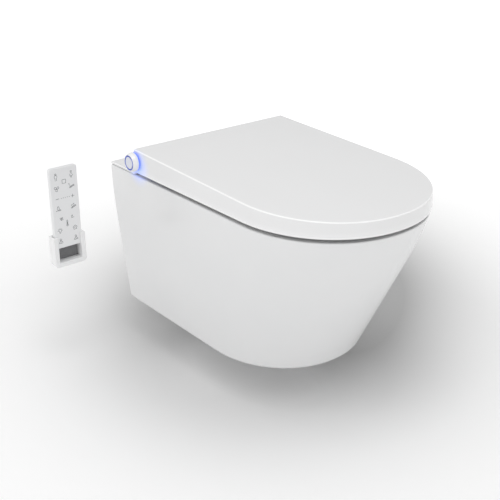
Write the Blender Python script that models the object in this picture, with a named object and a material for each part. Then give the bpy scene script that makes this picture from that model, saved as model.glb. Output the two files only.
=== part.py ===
"""Wall-hung shower toilet: ceramic pan, built-in bidet seat unit, side knob and docked remote control.

Metres, +Z up. The wall is the plane Y = 0 and the toilet stands out towards -Y. The origin is on the
pan's wall face, half way between the two fixing studs.
"""
import math

import bmesh
import bpy
from mathutils import Matrix, Vector

# ---------------------------------------------------------------- driving dimensions
GAP = 0.0003                    # clearance between pieces that touch
WELD = 0.000004                 # points closer than this are one

PAN_BOTTOM = -0.225             # underside of the pan
RIM = 0.080                     # top face of the ceramic
RIM_STRAIGHT = 0.414            # the sides run straight this far from the wall, then curve
PAN_ROWS = (                    # height, half width, straight run, projection from the wall
    (-0.225, 0.1513, 0.2960, 0.4605),
    (-0.218, 0.1554, 0.2987, 0.4671),
    (-0.080, 0.1721, 0.3521, 0.5358),
    (0.020, 0.1822, 0.3908, 0.5837),
    (0.0475, 0.1838, 0.4015, 0.5951),
    (0.080, 0.1845, 0.4140, 0.6060),
)
D_POWER = 2.08                  # exponent of the D-shaped front curve
CERAMIC = 0.012                 # wall of the outer shroud

BOWL_POWER = 2.3
BOWL_RINGS = (                  # height, half width, half length, centre from the wall
    (0.081, 0.118, 0.180, 0.375),
    (0.050, 0.115, 0.172, 0.372),
    (0.000, 0.104, 0.148, 0.360),
    (-0.060, 0.082, 0.112, 0.340),
    (-0.110, 0.061, 0.080, 0.317),
    (-0.160, 0.044, 0.052, 0.300),
    (-0.190, 0.034, 0.038, 0.295),
)
BOWL_WALL = 0.010
TRAP_PATH = (                   # distance from the wall, height, bore radius
    (0.290, -0.158, 0.026),
    (0.255, -0.155, 0.026),
    (0.220, -0.127, 0.027),
    (0.188, -0.092, 0.028),
    (0.150, -0.080, 0.030),
    (0.112, -0.092, 0.036),
    (0.080, -0.100, 0.045),
    (-0.002, -0.100, 0.045),
)
WASTE_Z = -0.100                # waste outlet, below the studs
FLUSH_Z = 0.035                 # flush inlet, above the studs
FLUSH_RADIUS = 0.0275
FLUSH_CHANNEL_Z = -0.010
STUD_X = 0.090                  # studs 180 mm apart

RECESS_HALF = 0.165             # pocket for the seat unit in the rear deck
RECESS_FLOOR = 0.030
RECESS_BACK = 0.012
RECESS_FRONT = 0.178
NOTCH_HALF = 0.072
NOTCH_BOTTOM = 0.045
DECK_FRONT = 0.1912

HINGE_Y = -0.094                # one axis for the seat, the lid and the knob
HINGE_Z = 0.110
PIN_RADIUS = 0.005
PIN_BORE = 0.0054
BARREL_RADIUS = 0.0170
HOUSING_HALF = 0.128
HOUSING_TOP_FRONT = 0.1225
HOUSING_WALL = 0.0025

LID_REAR = 0.0884
LID_BOTTOM = 0.0875
LID_STRAIGHT = 0.414
LID_LENGTH = 0.6078
LID_HALF_WIDTH = 0.185
LID_FLARE = 0.001               # the skirt is this much wider at its lower edge
LID_TOP = 0.1342                # height of the top plane at LID_TOP_Y
LID_TOP_Y = -0.050
LID_SLOPE = 0.0326              # the top plane rises towards the wall
LID_SKIRT = 0.003
LID_SKIN = 0.0035
LID_EDGE = 0.0018

SEAT_BOTTOM = 0.0845
SEAT_TOP = 0.1035
SEAT_REAR = 0.202
SEAT_HALF_WIDTH = 0.1785
SEAT_LENGTH = 0.6005
SEAT_WALL = 0.003
HOLE_CENTRE = 0.392
HOLE_HALF_WIDTH = 0.106
HOLE_HALF_LENGTH = 0.142
HOLE_POWER = 2.4

COVER_TOP = 0.0858
COVER_HALF_WIDTH = 0.1843

NOZZLE_TILT = math.radians(10.0)
NOZZLE_Y = -0.200               # stowed tip
NOZZLE_Z = 0.062
RACK_MODULE = 0.0008
RACK_PITCH_LINE = 0.0091
PINION_TEETH = 14
PINION_PITCH_RADIUS = RACK_MODULE * PINION_TEETH / 2
PINION_BACK = 0.026             # distance of the pinion behind the stowed tip

KNOB_RADIUS = 0.0185
KNOB_PLANE = -0.1865            # inner plane of the knob, just outside the lid skirt

REMOTE_X = -0.300
REMOTE_BOTTOM = -0.060
REMOTE_LENGTH = 0.1632
REMOTE_HALF = 0.029
DOCK_HALF = 0.034
DOCK_BOTTOM = REMOTE_BOTTOM - 0.038
DOCK_HEIGHT = 0.0625

# ---------------------------------------------------------------- finishes: colour, roughness, metallic
FINISHES = {
    "ceramic": ((0.86, 0.86, 0.85), 0.12, 0.0),
    "white_plastic": ((0.88, 0.88, 0.88), 0.30, 0.0),
    "satin_white": ((0.84, 0.84, 0.85), 0.45, 0.0),
    "grey_plastic": ((0.42, 0.43, 0.45), 0.50, 0.0),
    "dark_plastic": ((0.08, 0.08, 0.09), 0.50, 0.0),
    "rubber": ((0.16, 0.16, 0.17), 0.80, 0.0),
    "white_rubber": ((0.75, 0.75, 0.75), 0.75, 0.0),
    "steel": ((0.70, 0.70, 0.71), 0.30, 1.0),
    "copper": ((0.72, 0.43, 0.28), 0.35, 1.0),
    "board_green": ((0.05, 0.28, 0.14), 0.45, 0.0),
    "blue_light": ((0.20, 0.36, 0.95), 0.25, 0.0),
    "pad_grey": ((0.20, 0.20, 0.20), 0.60, 0.0),
}


def clear_scene():
    """Remove whatever the open file holds."""
    for item in list(bpy.data.objects):
        bpy.data.objects.remove(item, do_unlink=True)


# ---------------------------------------------------------------- mesh helpers
def finish_material(name, finish):
    """Make the piece's own Principled material."""
    colour, roughness, metallic = FINISHES[finish]
    material = bpy.data.materials.new(name + "_finish")
    material.use_nodes = True
    shader = material.node_tree.nodes["Principled BSDF"]
    shader.inputs["Base Color"].default_value = (*colour, 1.0)
    shader.inputs["Roughness"].default_value = roughness
    shader.inputs["Metallic"].default_value = metallic
    return material


def solid(name, points, faces, finish=None):
    """Link a closed mesh object with its faces turned outwards."""
    mesh = bpy.data.meshes.new(name)
    mesh.from_pydata([tuple(p) for p in points], [], faces)
    turn_outwards(mesh)
    item = bpy.data.objects.new(name, mesh)
    bpy.context.scene.collection.objects.link(item)
    if finish:
        dress(item, finish)
    return item


def turn_outwards(mesh):
    """Flip a closed mesh whose volume comes out negative."""
    mesh.calc_loop_triangles()
    vertices = mesh.vertices
    volume = sum(
        vertices[a].co.dot(vertices[b].co.cross(vertices[c].co))
        for a, b, c in (triangle.vertices for triangle in mesh.loop_triangles)
    )
    if volume < 0:
        mesh.flip_normals()


def dress(item, finish):
    """Give an object its material and smooth shading with sharp corners kept."""
    item.data.materials.clear()
    item.data.materials.append(finish_material(item.name, finish))
    item.data.shade_smooth()
    item.data.set_sharp_from_angle(angle=math.radians(32))


def combine(target, others, operation):
    """Apply one exact boolean per tool and remove the tools."""
    for tool in others:
        modifier = target.modifiers.new("combine", "BOOLEAN")
        modifier.operation = operation
        modifier.solver = "EXACT"
        modifier.object = tool
        view = bpy.context.evaluated_depsgraph_get()
        mesh = bpy.data.meshes.new_from_object(target.evaluated_get(view))
        weld(mesh)
        target.modifiers.clear()
        target.data = mesh
        bpy.data.objects.remove(tool, do_unlink=True)
    return target


def weld(mesh):
    """Merge the coincident points that a boolean leaves where edges cross."""
    work = bmesh.new()
    work.from_mesh(mesh)
    bmesh.ops.remove_doubles(work, verts=work.verts, dist=WELD)
    bmesh.ops.dissolve_degenerate(work, edges=work.edges, dist=WELD)
    work.to_mesh(mesh)
    work.free()


def cut(target, *tools):
    """Take the tools away from the target."""
    return combine(target, tools, "DIFFERENCE")


def join(target, *tools):
    """Fuse the tools onto the target."""
    return combine(target, tools, "UNION")


def loft(name, rings, finish=None):
    """Skin equal rings of points in order and cap both ends."""
    count = len(rings[0])
    points = [p for each in rings for p in each]
    faces = [tuple(reversed(range(count))), tuple(range(len(points) - count, len(points)))]
    for low in range(0, len(points) - count, count):
        for i in range(count):
            j = (i + 1) % count
            faces.append((low + i, low + j, low + count + j, low + count + i))
    return solid(name, points, faces, finish)


def prism(name, outline, axis, low, high, finish=None):
    """Extrude a flat outline along X, Y or Z; the outline gives the other two coordinates in order."""
    def put(u, v, along):
        return {"X": (along, u, v), "Y": (u, along, v), "Z": (u, v, along)}[axis]
    return loft(name, [[put(u, v, end) for u, v in outline] for end in (low, high)], finish)


def block(name, low, high, finish=None):
    """Box from its lowest to its highest corner."""
    outline = [(low[0], low[1]), (high[0], low[1]), (high[0], high[1]), (low[0], high[1])]
    return prism(name, outline, "Z", low[2], high[2], finish)


def circle(radius, count=24, centre=(0.0, 0.0), turn=0.0):
    """Points round a circle in a plane."""
    return [(centre[0] + radius * math.cos(turn + 2 * math.pi * i / count),
             centre[1] + radius * math.sin(turn + 2 * math.pi * i / count)) for i in range(count)]


def rod(name, axis, centre, radius, low, high, finish=None, count=24):
    """Cylinder along an axis; the centre gives the other two coordinates in order."""
    return prism(name, circle(radius, count, centre), axis, low, high, finish)


def turned(name, profile, centre, finish=None, count=32, closed=False):
    """Turn (x, radius) points about a line along X through the centre (y, z)."""
    rings, points, faces = [], [], []
    for along, radius in profile:
        if radius == 0.0:
            rings.append([len(points)] * count)
            points.append((along, centre[0], centre[1]))
        else:
            rings.append(list(range(len(points), len(points) + count)))
            points += [(along, y, z) for y, z in circle(radius, count, centre)]
    pairs = list(zip(rings, rings[1:] + rings[:1] if closed else rings[1:]))
    for near, far in pairs:
        for i in range(count):
            j = (i + 1) % count
            corners = [near[i], far[i], far[j], near[j]]
            face = [c for k, c in enumerate(corners) if c != corners[k - 1]]
            if len(face) > 2:
                faces.append(tuple(face))
    return solid(name, points, faces, finish)


def ring(name, outer, inner, low, high, centre, finish, count=32):
    """Flat washer about a line along X."""
    profile = [(low, inner), (low, outer), (high, outer), (high, inner)]
    return turned(name, profile, centre, finish, count, closed=True)


def d_outline(half_width, length, straight, rear, steps=22):
    """Straight sides from the rear edge, closed by a superellipse front."""
    points = [(-half_width, -rear)]
    for i in range(steps + 1):
        angle = math.pi * i / steps
        c, s = math.cos(angle), math.sin(angle)
        x = -half_width * math.copysign(abs(c) ** (2 / D_POWER), c)
        points.append((x, -straight - (length - straight) * abs(s) ** (2 / D_POWER)))
    return points + [(half_width, -rear)]


def egg_outline(half_width, half_length, centre, power, count=36):
    """Superellipse round a point on the centre line."""
    points = []
    for i in range(count):
        c, s = math.cos(2 * math.pi * i / count), math.sin(2 * math.pi * i / count)
        points.append((half_width * math.copysign(abs(c) ** (2 / power), c),
                       -centre + half_length * math.copysign(abs(s) ** (2 / power), s)))
    return points


def tube(name, path, grow=0.0, count=20):
    """Pipe of varying radius along a path in the YZ plane."""
    rings = []
    for k, (back, height, radius) in enumerate(path):
        before, after = path[max(k - 1, 0)], path[min(k + 1, len(path) - 1)]
        run = Vector((0, before[0] - after[0], after[1] - before[1])).normalized()
        side = Vector((1, 0, 0))
        up = run.cross(side)
        middle = Vector((0, -back, height))
        rings.append([middle + (side * u + up * v) for u, v in circle(radius + grow, count)])
    return loft(name, rings)


def set_origin(item, point):
    """Move an object's origin to a joint's axis without moving its surface."""
    item.data.transform(Matrix.Translation(-Vector(point)))
    item.location = point


# ---------------------------------------------------------------- ceramic pan
def pan_row(height):
    """Half width, straight run and projection of the pan's outside at a height."""
    height = min(max(height, PAN_ROWS[0][0]), PAN_ROWS[-1][0])
    for lower, upper in zip(PAN_ROWS, PAN_ROWS[1:]):
        if height <= upper[0]:
            share = (height - lower[0]) / (upper[0] - lower[0])
            return [a + (b - a) * share for a, b in zip(lower[1:], upper[1:])]
    return PAN_ROWS[-1][1:]


def shroud(name, inset, rear, low, high):
    """Outer body of the pan between two heights, drawn in by the wall thickness."""
    rings = []
    for height in (low, *(row[0] for row in PAN_ROWS if low + 0.004 < row[0] < high), high):
        half, straight, length = pan_row(height)
        outline = d_outline(half - inset, length - inset, straight, rear)
        rings.append([(x, y, height) for x, y in outline])
    return loft(name, rings)


def bowl(name, grow):
    """Bowl from the rim down to the sump, grown outwards for its outer wall."""
    rings = []
    for index, (height, half, long, centre) in enumerate(BOWL_RINGS):
        drop = grow if index == len(BOWL_RINGS) - 1 else 0.0
        outline = egg_outline(half + grow, long + grow, centre, BOWL_POWER)
        rings.append([(x, y, height - drop) for x, y in outline])
    return loft(name, rings[::-1])


def flush_way(radius, grow):
    """Flush water way in three runs: in from the wall, down, and forward to the back of the bowl."""
    return (rod("inlet", "Y", (0, FLUSH_Z), FLUSH_RADIUS + grow, -0.050 - grow, 0.002),
            rod("drop", "Z", (0, -0.030), radius + grow + 0.0015,
                FLUSH_CHANNEL_Z - radius - grow - 0.0013, FLUSH_Z),
            rod("run", "Y", (0, FLUSH_CHANNEL_Z), radius + grow, -0.222, -0.0305, count=22))


def ceramic_pan():
    """Glazed pan: shroud, bowl, trap, flush way, fixing bosses and the pocket for the unit."""
    pan = shroud("ceramic_pan", 0.0, 0.0, PAN_BOTTOM, RIM)
    hollow = shroud("hollow", CERAMIC, CERAMIC, PAN_BOTTOM - 0.002, RIM - 0.018)
    cut(hollow, bowl("bowl_wall", BOWL_WALL), tube("trap_wall", TRAP_PATH, BOWL_WALL),
        *flush_way(0.018, 0.010),
        block("deck", (-0.180, -DECK_FRONT, RECESS_FLOOR - 0.0104), (0.180, 0.010, RIM + 0.01)),
        block("sill", (-0.084, -0.250, NOTCH_BOTTOM - 0.0100), (0.084, -0.180, RIM + 0.01)))
    for side in (-1, 1):
        cut(hollow, rod("boss", "Y", (side * STUD_X, 0.0), 0.024, -0.040, 0.010))
    cut(pan, hollow, bowl("basin", 0.0), tube("trap_bore", TRAP_PATH), *flush_way(0.018, 0.0))
    pocket = block("pocket", (-RECESS_HALF, -RECESS_FRONT, RECESS_FLOOR),
                   (RECESS_HALF, -RECESS_BACK, RIM + 0.01))
    cut(pocket, block("inlet_block", (-0.036, -0.062, 0.0), (0.036, 0.0, 0.0725)))
    notch = block("notch", (-NOTCH_HALF, -0.232, NOTCH_BOTTOM), (NOTCH_HALF, -0.170, RIM + 0.01))
    cut(pan, pocket, notch)
    for x, radius in ((-0.085, 0.0090), (0.110, 0.0070)):
        cut(pan, rod("pass", "Y", (x, 0.052), radius, -0.020, 0.005, count=20))
    dress(pan, "ceramic")


def pan_fixings():
    """Seals and the two clamps that pull the pan onto the wall studs."""
    for name, z, outer, inner, depth in (("waste_seal", WASTE_Z, 0.0443, 0.0395, 0.018),
                                         ("flush_seal", FLUSH_Z, 0.0269, 0.0220, 0.014)):
        seal = rod(name, "Y", (0, z), outer, -0.003 - depth, -0.003, count=32)
        cut(seal, rod("seal_bore", "Y", (0, z), inner, -0.04, 0.01, count=32))
        dress(seal, "rubber")
    for name, side in (("left", 1), ("right", -1)):
        x = side * STUD_X
        block("fixing_block_" + name, (x - 0.015, -0.058, -0.015), (x + 0.015, -0.040 - GAP, 0.015),
              "grey_plastic")
        rod("fixing_bolt_" + name, "Y", (x, 0.0), 0.0095, -0.068, -0.058 - GAP, "steel", 6)


# ---------------------------------------------------------------- unit in the rear deck
def rear_cover():
    """Thin plate over the deck, notched round the upper housing and reaching forward at both sides."""
    low = RIM + GAP
    edge, inner = COVER_HALF_WIDTH, HOUSING_HALF + 0.0005
    front, middle = -0.0872, HINGE_Y + BARREL_RADIUS + 0.0005
    outline = [(-edge, -GAP), (-edge, front), (-inner, front), (-inner, middle), (inner, middle),
               (inner, front), (edge, front), (edge, -GAP)]
    cover = prism("rear_cover", outline, "Z", low, COVER_TOP)
    for side in (-1, 1):
        xs = sorted((side * inner, side * 0.172))
        join(cover, block("wing", (xs[0], -0.180, low), (xs[1], front + 0.002, RIM + 0.0038)))
    dress(cover, "white_plastic")


def housing_outline(inset):
    """Side profile of the upper housing: rear wall, barrel round the hinge line, sloping hump, front."""
    radius = BARREL_RADIUS - inset
    points = [(HINGE_Y + radius, RIM + GAP - (0.01 if inset else 0.0))]
    for i in range(7):
        angle = math.radians(15.0 * i)
        points.append((HINGE_Y + radius * math.cos(angle), HINGE_Z + radius * math.sin(angle)))
    points += [(-0.184 + inset * 0.5, HOUSING_TOP_FRONT - inset),
               (-0.1885 + inset, HOUSING_TOP_FRONT - 0.004 - inset * 0.5),
               (-0.195 + inset, RIM + GAP - (0.01 if inset else 0.0))]
    return points


def upper_housing():
    """White shell under the lid that holds the hinge dampers and covers the nozzle and dryer."""
    shell = prism("upper_housing", housing_outline(0.0), "X", -HOUSING_HALF, HOUSING_HALF)
    inner = HOUSING_HALF - HOUSING_WALL
    cut(shell, prism("inside", housing_outline(HOUSING_WALL), "X", -inner, inner))
    cut(shell, rod("pin_holes", "X", (HINGE_Y, HINGE_Z), PIN_BORE, -0.14, 0.14))
    dress(shell, "white_plastic")


def base_tray():
    """Tray on the pocket floor, cut out round the flush inlet block."""
    y0, y1, y2 = -0.014, -0.0645, -0.176
    outline = [(-0.163, y0), (-0.038, y0), (-0.038, y1), (0.038, y1), (0.038, y0), (0.163, y0),
               (0.163, y2), (-0.163, y2)]
    prism("base_tray", [(x, y) for x, y in reversed(outline)], "Z", RECESS_FLOOR + GAP,
          RECESS_FLOOR + 0.0022, "grey_plastic")


def front_fascia():
    """Plate that closes the notch below the housing, with the nozzle port and the warm-air outlet."""
    fascia = block("front_fascia", (-0.0715, -0.1935, NOTCH_BOTTOM + GAP), (0.0715, -0.1915, RIM))
    port = rod("port", "Y", (0.001, 0.0633), 0.0115, -0.20, -0.18)
    window = block("window", (0.0415, -0.20, 0.0575), (0.0625, -0.18, 0.0755))
    cut(fascia, port, window)
    dress(fascia, "white_plastic")
    block("night_light_lens", (-0.058, -0.1953, 0.0590), (-0.038, -0.1935 - GAP, 0.0660), "white_rubber")


def electrics():
    """Boards, heater, valve, pump and the two wall fittings."""
    floor = RECESS_FLOOR + 0.0025
    power = block("power_board", (0.116, -0.100, floor), (0.160, -0.020, floor + 0.0016))
    join(power, block("transformer", (0.124, -0.060, floor), (0.152, -0.030, floor + 0.030)),
         rod("capacitor", "Z", (0.132, -0.080), 0.007, floor, floor + 0.028, count=16))
    dress(power, "board_green")
    control = block("control_board", (-0.160, -0.105, floor), (-0.116, -0.020, floor + 0.0016))
    join(control, block("chip", (-0.148, -0.085, floor), (-0.128, -0.065, floor + 0.004)),
         block("relay", (-0.150, -0.050, floor), (-0.132, -0.030, floor + 0.018)))
    dress(control, "board_green")
    heater = block("water_heater", (0.042, -0.100, floor), (0.104, -0.018, 0.0790))
    join(heater, rod("outlet_stub", "Y", (0.060, 0.062), 0.005, -0.106, -0.095, count=16))
    dress(heater, "copper")
    valve = block("inlet_valve", (-0.108, -0.046, floor), (-0.070, -0.0170, 0.066))
    join(valve, rod("coil", "Z", (-0.089, -0.031), 0.012, 0.060, 0.078, count=20))
    dress(valve, "dark_plastic")
    rod("hose_fitting", "Y", (-0.085, 0.052), 0.0086, -0.0165, 0.0 - GAP, "steel", 20)
    rod("cable_gland", "Y", (0.110, 0.052), 0.0066, -0.0165, 0.0 - GAP, "dark_plastic", 20)
    rod("water_pump", "X", (-0.072, 0.052), 0.017, -0.105, -0.042, "grey_plastic", 24)


def dryer():
    """Snail blower with its motor, heating element and outlet duct; the impeller turns about X."""
    centre, radius = (-0.142, 0.066), 0.030

    def snail(name, inset, x0, x1, mouth):
        body = rod(name, "X", centre, radius - inset, x0 + inset, x1 - inset, count=32)
        duct = [(-0.150, 0.0765 - inset), (mouth, 0.0765 - inset), (mouth, 0.0565 + inset),
                (-0.165, 0.0565 + inset)]
        return join(body, prism("duct", duct, "X", x0 + inset, x1 - inset))

    housing = snail("dryer_housing", 0.0, 0.038, 0.066, -0.1912)
    cut(housing, snail("snail_inside", 0.002, 0.038, 0.066, -0.20))
    cut(housing, rod("inlet", "X", centre, 0.013, 0.030, 0.045), rod("shaft_hole", "X", centre, 0.0035, 0.06, 0.07))
    dress(housing, "grey_plastic")
    motor = rod("dryer_motor", "X", centre, 0.012, 0.0663, 0.086)
    dress(motor, "steel")
    hub = [(0.0445, 0.0), (0.0445, 0.006), (0.0585, 0.006), (0.0585, 0.0245), (0.0600, 0.0245),
           (0.0600, 0.0022), (0.0658, 0.0022), (0.0658, 0.0)]
    impeller = turned("dryer_impeller", hub, centre, count=24)
    for i in range(9):
        blade = block("blade", (0.0450, -0.0008, 0.0155), (0.0592, 0.0008, 0.0240))
        blade.data.transform(Matrix.Translation((0, *centre)) @ Matrix.Rotation(2 * math.pi * i / 9, 4, "X"))
        join(impeller, blade)
    dress(impeller, "dark_plastic")
    set_origin(impeller, (0.0, *centre))
    element = block("dryer_heater", (0.0415, -0.1885, 0.0600), (0.0625, -0.1755, 0.0612))
    for i in range(5):
        y = -0.1880 + 0.0029 * i
        join(element, block("fin", (0.0425, y, 0.0605), (0.0615, y + 0.0008, 0.0735)))
    dress(element, "copper")
    flap = block("dryer_flap", (0.0405, -0.1953, 0.0565), (0.0635, -0.1938, 0.0765))
    join(flap, rod("flap_pivot", "X", (-0.1953, 0.0768), 0.0013, 0.0405, 0.0635, count=12))
    dress(flap, "white_plastic")
    set_origin(flap, (0.052, -0.1953, 0.0768))


def deodoriser():
    """Small axial fan that draws bowl air through a carbon cartridge; the fan turns about X."""
    centre = (-0.140, 0.058)
    frame = block("fan_frame", (-0.052, centre[0] - 0.021, 0.0370), (-0.040, centre[0] + 0.021, 0.0790))
    cut(frame, rod("fan_bore", "X", centre, 0.0185, -0.06, -0.03, count=28))
    foot = block("foot", (-0.052, centre[0] - 0.021, RECESS_FLOOR + 0.0025), (-0.040, centre[0] + 0.021, 0.0380))
    dress(join(frame, foot), "dark_plastic")
    hub = [(-0.0505, 0.0), (-0.0505, 0.007), (-0.0415, 0.007), (-0.0415, 0.0)]
    fan = turned("deodoriser_fan", hub, centre, count=20)
    for i in range(7):
        blade = block("blade", (-0.0020, -0.0006, 0.0060), (0.0030, 0.0006, 0.0175))
        blade.data.transform(Matrix.Translation((-0.0465, *centre)) @ Matrix.Rotation(2 * math.pi * i / 7, 4, "X")
                             @ Matrix.Rotation(math.radians(50), 4, "Z"))
        join(fan, blade)
    dress(fan, "grey_plastic")
    set_origin(fan, (-0.046, *centre))
    block("filter_cartridge", (-0.108, -0.168, RECESS_FLOOR + 0.0025), (-0.056, -0.112, 0.0785), "dark_plastic")


def nozzle_frame():
    """Matrix from the nozzle's own axes (Y back up the slope, Z across it) to the part's axes."""
    return Matrix.Translation((0, NOZZLE_Y, NOZZLE_Z)) @ Matrix.Rotation(NOZZLE_TILT, 4, "X")


def nozzle():
    """Spray wand with its rack, tip, guide, stepper motor and pinion."""
    frame = nozzle_frame()
    pitch = math.pi * RACK_MODULE
    wand = rod("nozzle_wand", "Y", (0, 0), 0.0068, 0.018, 0.118, count=16)
    join(wand, block("rack_bar", (0.0050, 0.0195, -0.0025), (0.0083, 0.1175, 0.0025)))
    first = PINION_BACK - 2.5 * pitch
    for k in range(37):
        y = first + k * pitch
        tooth = [(0.0078, y - 0.00062), (0.0083, y - 0.00062), (0.0096, y - 0.00032),
                 (0.0096, y + 0.00032), (0.0083, y + 0.00062), (0.0078, y + 0.00062)]
        join(wand, prism("tooth", tooth, "Z", -0.0023, 0.0023))
    tip_profile = [(0.0, 0.0), (0.0002, 0.0030), (0.0018, 0.0054), (0.0050, 0.0066), (0.0177, 0.0066), (0.0177, 0.0)]
    tip = turned("nozzle_tip", tip_profile, (0.0, 0.0), count=20)
    tip.data.transform(Matrix.Rotation(math.radians(90), 4, "Z"))
    for y in (0.0055, 0.0080, 0.0105):
        cut(tip, rod("spray_hole", "Z", (0, y), 0.0007, 0.004, 0.009, count=10))
    guide = block("nozzle_guide", (-0.0112, 0.0125, -0.0108), (0.0080, 0.112, -0.0075))
    join(guide, block("side_wall", (-0.0112, 0.0125, -0.0100), (-0.0078, 0.112, 0.0075)),
         block("bracket_post", (-0.0112, 0.0140, 0.0), (-0.0078, 0.0400, 0.0100)),
         block("bracket", (-0.0112, 0.0140, 0.0078), (0.0262, 0.0380, 0.0098)))
    pinion_x = RACK_PITCH_LINE + PINION_PITCH_RADIUS
    cut(guide, rod("shaft_pass", "Z", (pinion_x, PINION_BACK), 0.0024, 0.0, 0.02))
    motor = rod("nozzle_motor", "Z", (pinion_x, PINION_BACK), 0.0110, 0.0101, 0.0260)
    pinion = pinion_gear((pinion_x, PINION_BACK))
    for item in (wand, tip, guide, motor, pinion):
        item.data.transform(frame)
    for y in (-0.100, -0.176):
        height = NOZZLE_Z + (y - NOZZLE_Y) * math.tan(NOZZLE_TILT) - 0.0085
        join(guide, block("foot", (-0.008, y, RECESS_FLOOR + 0.0025), (0.006, y + 0.008, height)))
    for item, finish in ((wand, "satin_white"), (tip, "steel"), (guide, "grey_plastic"),
                         (motor, "steel"), (pinion, "white_rubber")):
        dress(item, finish)
    set_origin(wand, frame.translation)
    set_origin(tip, frame.translation)
    set_origin(pinion, frame @ Vector((pinion_x, PINION_BACK, 0)))


def pinion_gear(centre):
    """Small spur gear with flat-sided teeth; one tooth points at the rack."""
    points = []
    for k in range(PINION_TEETH):
        middle = math.pi + 2 * math.pi * k / PINION_TEETH
        for radius, half in ((0.0047, 0.78), (0.0056, 0.46), (0.0061, 0.26)):
            points.append((radius, middle - half * RACK_MODULE * 1.2 / radius))
        for radius, half in ((0.0061, 0.26), (0.0056, 0.46), (0.0047, 0.78)):
            points.append((radius, middle + half * RACK_MODULE * 1.2 / radius))
    outline = [(centre[0] + r * math.cos(a), centre[1] + r * math.sin(a)) for r, a in points]
    gear = prism("nozzle_pinion", outline, "Z", -0.0022, 0.0022)
    return join(gear, rod("spindle", "Z", centre, 0.0016, 0.0, 0.0098, count=12))


# ---------------------------------------------------------------- hinge line and knob
def hinge_line():
    """Pins, soft-close dampers and the knob's encoder, all on one axis."""
    axis = (HINGE_Y, HINGE_Z)
    rod("hinge_pin_left", "X", axis, PIN_RADIUS, 0.1120, 0.1800, "steel")
    ring("hinge_pin_right", PIN_RADIUS, 0.0027, -0.1886, -0.1120, axis, "steel", 24)
    rod("lid_damper", "X", axis, 0.0105, 0.0650, 0.1115, "dark_plastic")
    rod("seat_damper", "X", axis, 0.0105, -0.0980, -0.0500, "dark_plastic")
    rod("knob_encoder", "X", axis, 0.0090, -0.1105, -0.0990, "dark_plastic")


def knob():
    """Side knob: fixed base with a glow ring behind, turning dial with a light ring, push button."""
    axis = (HINGE_Y, HINGE_Z)
    plane = KNOB_PLANE
    ring("knob_base", 0.0127, PIN_RADIUS + GAP, plane - 0.0021, plane, axis, "white_plastic")
    ring("knob_glow_ring", 0.0178, 0.0130, plane - 0.0021, plane, axis, "blue_light")
    start = plane - 0.0027
    profile = [(-0.1113, 0.0), (-0.1113, 0.0022), (start, 0.0022), (start, KNOB_RADIUS),
               (start - 0.0040, KNOB_RADIUS), (start - 0.0085, 0.0176), (start - 0.0108, 0.0158),
               (start - 0.0113, 0.0147), (start - 0.0096, 0.0147), (start - 0.0096, 0.0121),
               (start - 0.0050, 0.0121), (start - 0.0050, 0.0)]
    dial = turned("knob_dial", profile, axis, "white_plastic")
    set_origin(dial, (start, *axis))
    light = ring("knob_light_ring", 0.0144, 0.0124, start - 0.0116, start - 0.0099, axis, "blue_light")
    set_origin(light, (start, *axis))
    cap = [(start - 0.0070, 0.0), (start - 0.0070, 0.0117), (start - 0.0112, 0.0117),
           (start - 0.0119, 0.0108), (start - 0.0119, 0.0)]
    button = turned("knob_button", cap, axis, "satin_white")
    set_origin(button, (start, *axis))


# ---------------------------------------------------------------- seat
def seat():
    """Two-shell seat with a heating mat inside, hinge arms and four bumpers."""
    axis = (HINGE_Y, HINGE_Z)

    def plate(name, inset, low, high):
        outline = d_outline(SEAT_HALF_WIDTH - inset, SEAT_LENGTH - inset, RIM_STRAIGHT, SEAT_REAR + inset)
        return prism(name, outline, "Z", low, high)

    def opening(name, grow, low, high):
        outline = egg_outline(HOLE_HALF_WIDTH + grow, HOLE_HALF_LENGTH + grow, HOLE_CENTRE, HOLE_POWER)
        return prism(name, outline, "Z", low, high)

    top = plate("seat_top_shell", 0.0, SEAT_BOTTOM, SEAT_TOP)
    cut(top, opening("hole", 0.0, 0.0, 0.2))
    channel = plate("channel", SEAT_WALL, SEAT_BOTTOM - 0.002, SEAT_TOP - SEAT_WALL)
    cut(channel, opening("core", SEAT_WALL, 0.0, 0.2))
    cut(top, channel)
    for side in (-1, 1):
        xs = sorted((side * 0.1310, side * 0.1510))
        arm = block("arm", (xs[0], -SEAT_REAR - 0.002, 0.0890), (xs[1], HINGE_Y, SEAT_TOP))
        knuckle = rod("knuckle", "X", axis, 0.0150, xs[0], xs[1], count=28)
        join(top, join(arm, knuckle))
    cut(top, rod("pin_bore", "X", axis, PIN_BORE, -0.16, 0.16))
    dress(top, "white_plastic")

    bottom = plate("seat_bottom_shell", SEAT_WALL + GAP, SEAT_BOTTOM + GAP, SEAT_BOTTOM + 0.0030)
    cut(bottom, opening("hole", SEAT_WALL + GAP, 0.0, 0.2))
    dress(bottom, "white_plastic")
    mat = plate("seat_heating_mat", 0.009, SEAT_TOP - 0.0043, SEAT_TOP - 0.0033)
    cut(mat, opening("hole", 0.009, 0.0, 0.2))
    dress(mat, "copper")
    bumpers = {"front_left": (0.095, -0.530), "front_right": (-0.095, -0.530),
               "rear_left": (0.150, -0.320), "rear_right": (-0.150, -0.320)}
    items = [top, bottom, mat]
    for name, (x, y) in bumpers.items():
        items.append(block("seat_bumper_" + name, (x - 0.005, y - 0.013, RIM + GAP),
                           (x + 0.005, y + 0.013, SEAT_BOTTOM), "white_rubber"))
    for item in items:
        set_origin(item, (0.0, *axis))


# ---------------------------------------------------------------- lid
def lid_top(y):
    """Height of the lid's top plane at a distance along Y."""
    return LID_TOP + LID_SLOPE * (y - LID_TOP_Y)


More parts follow.
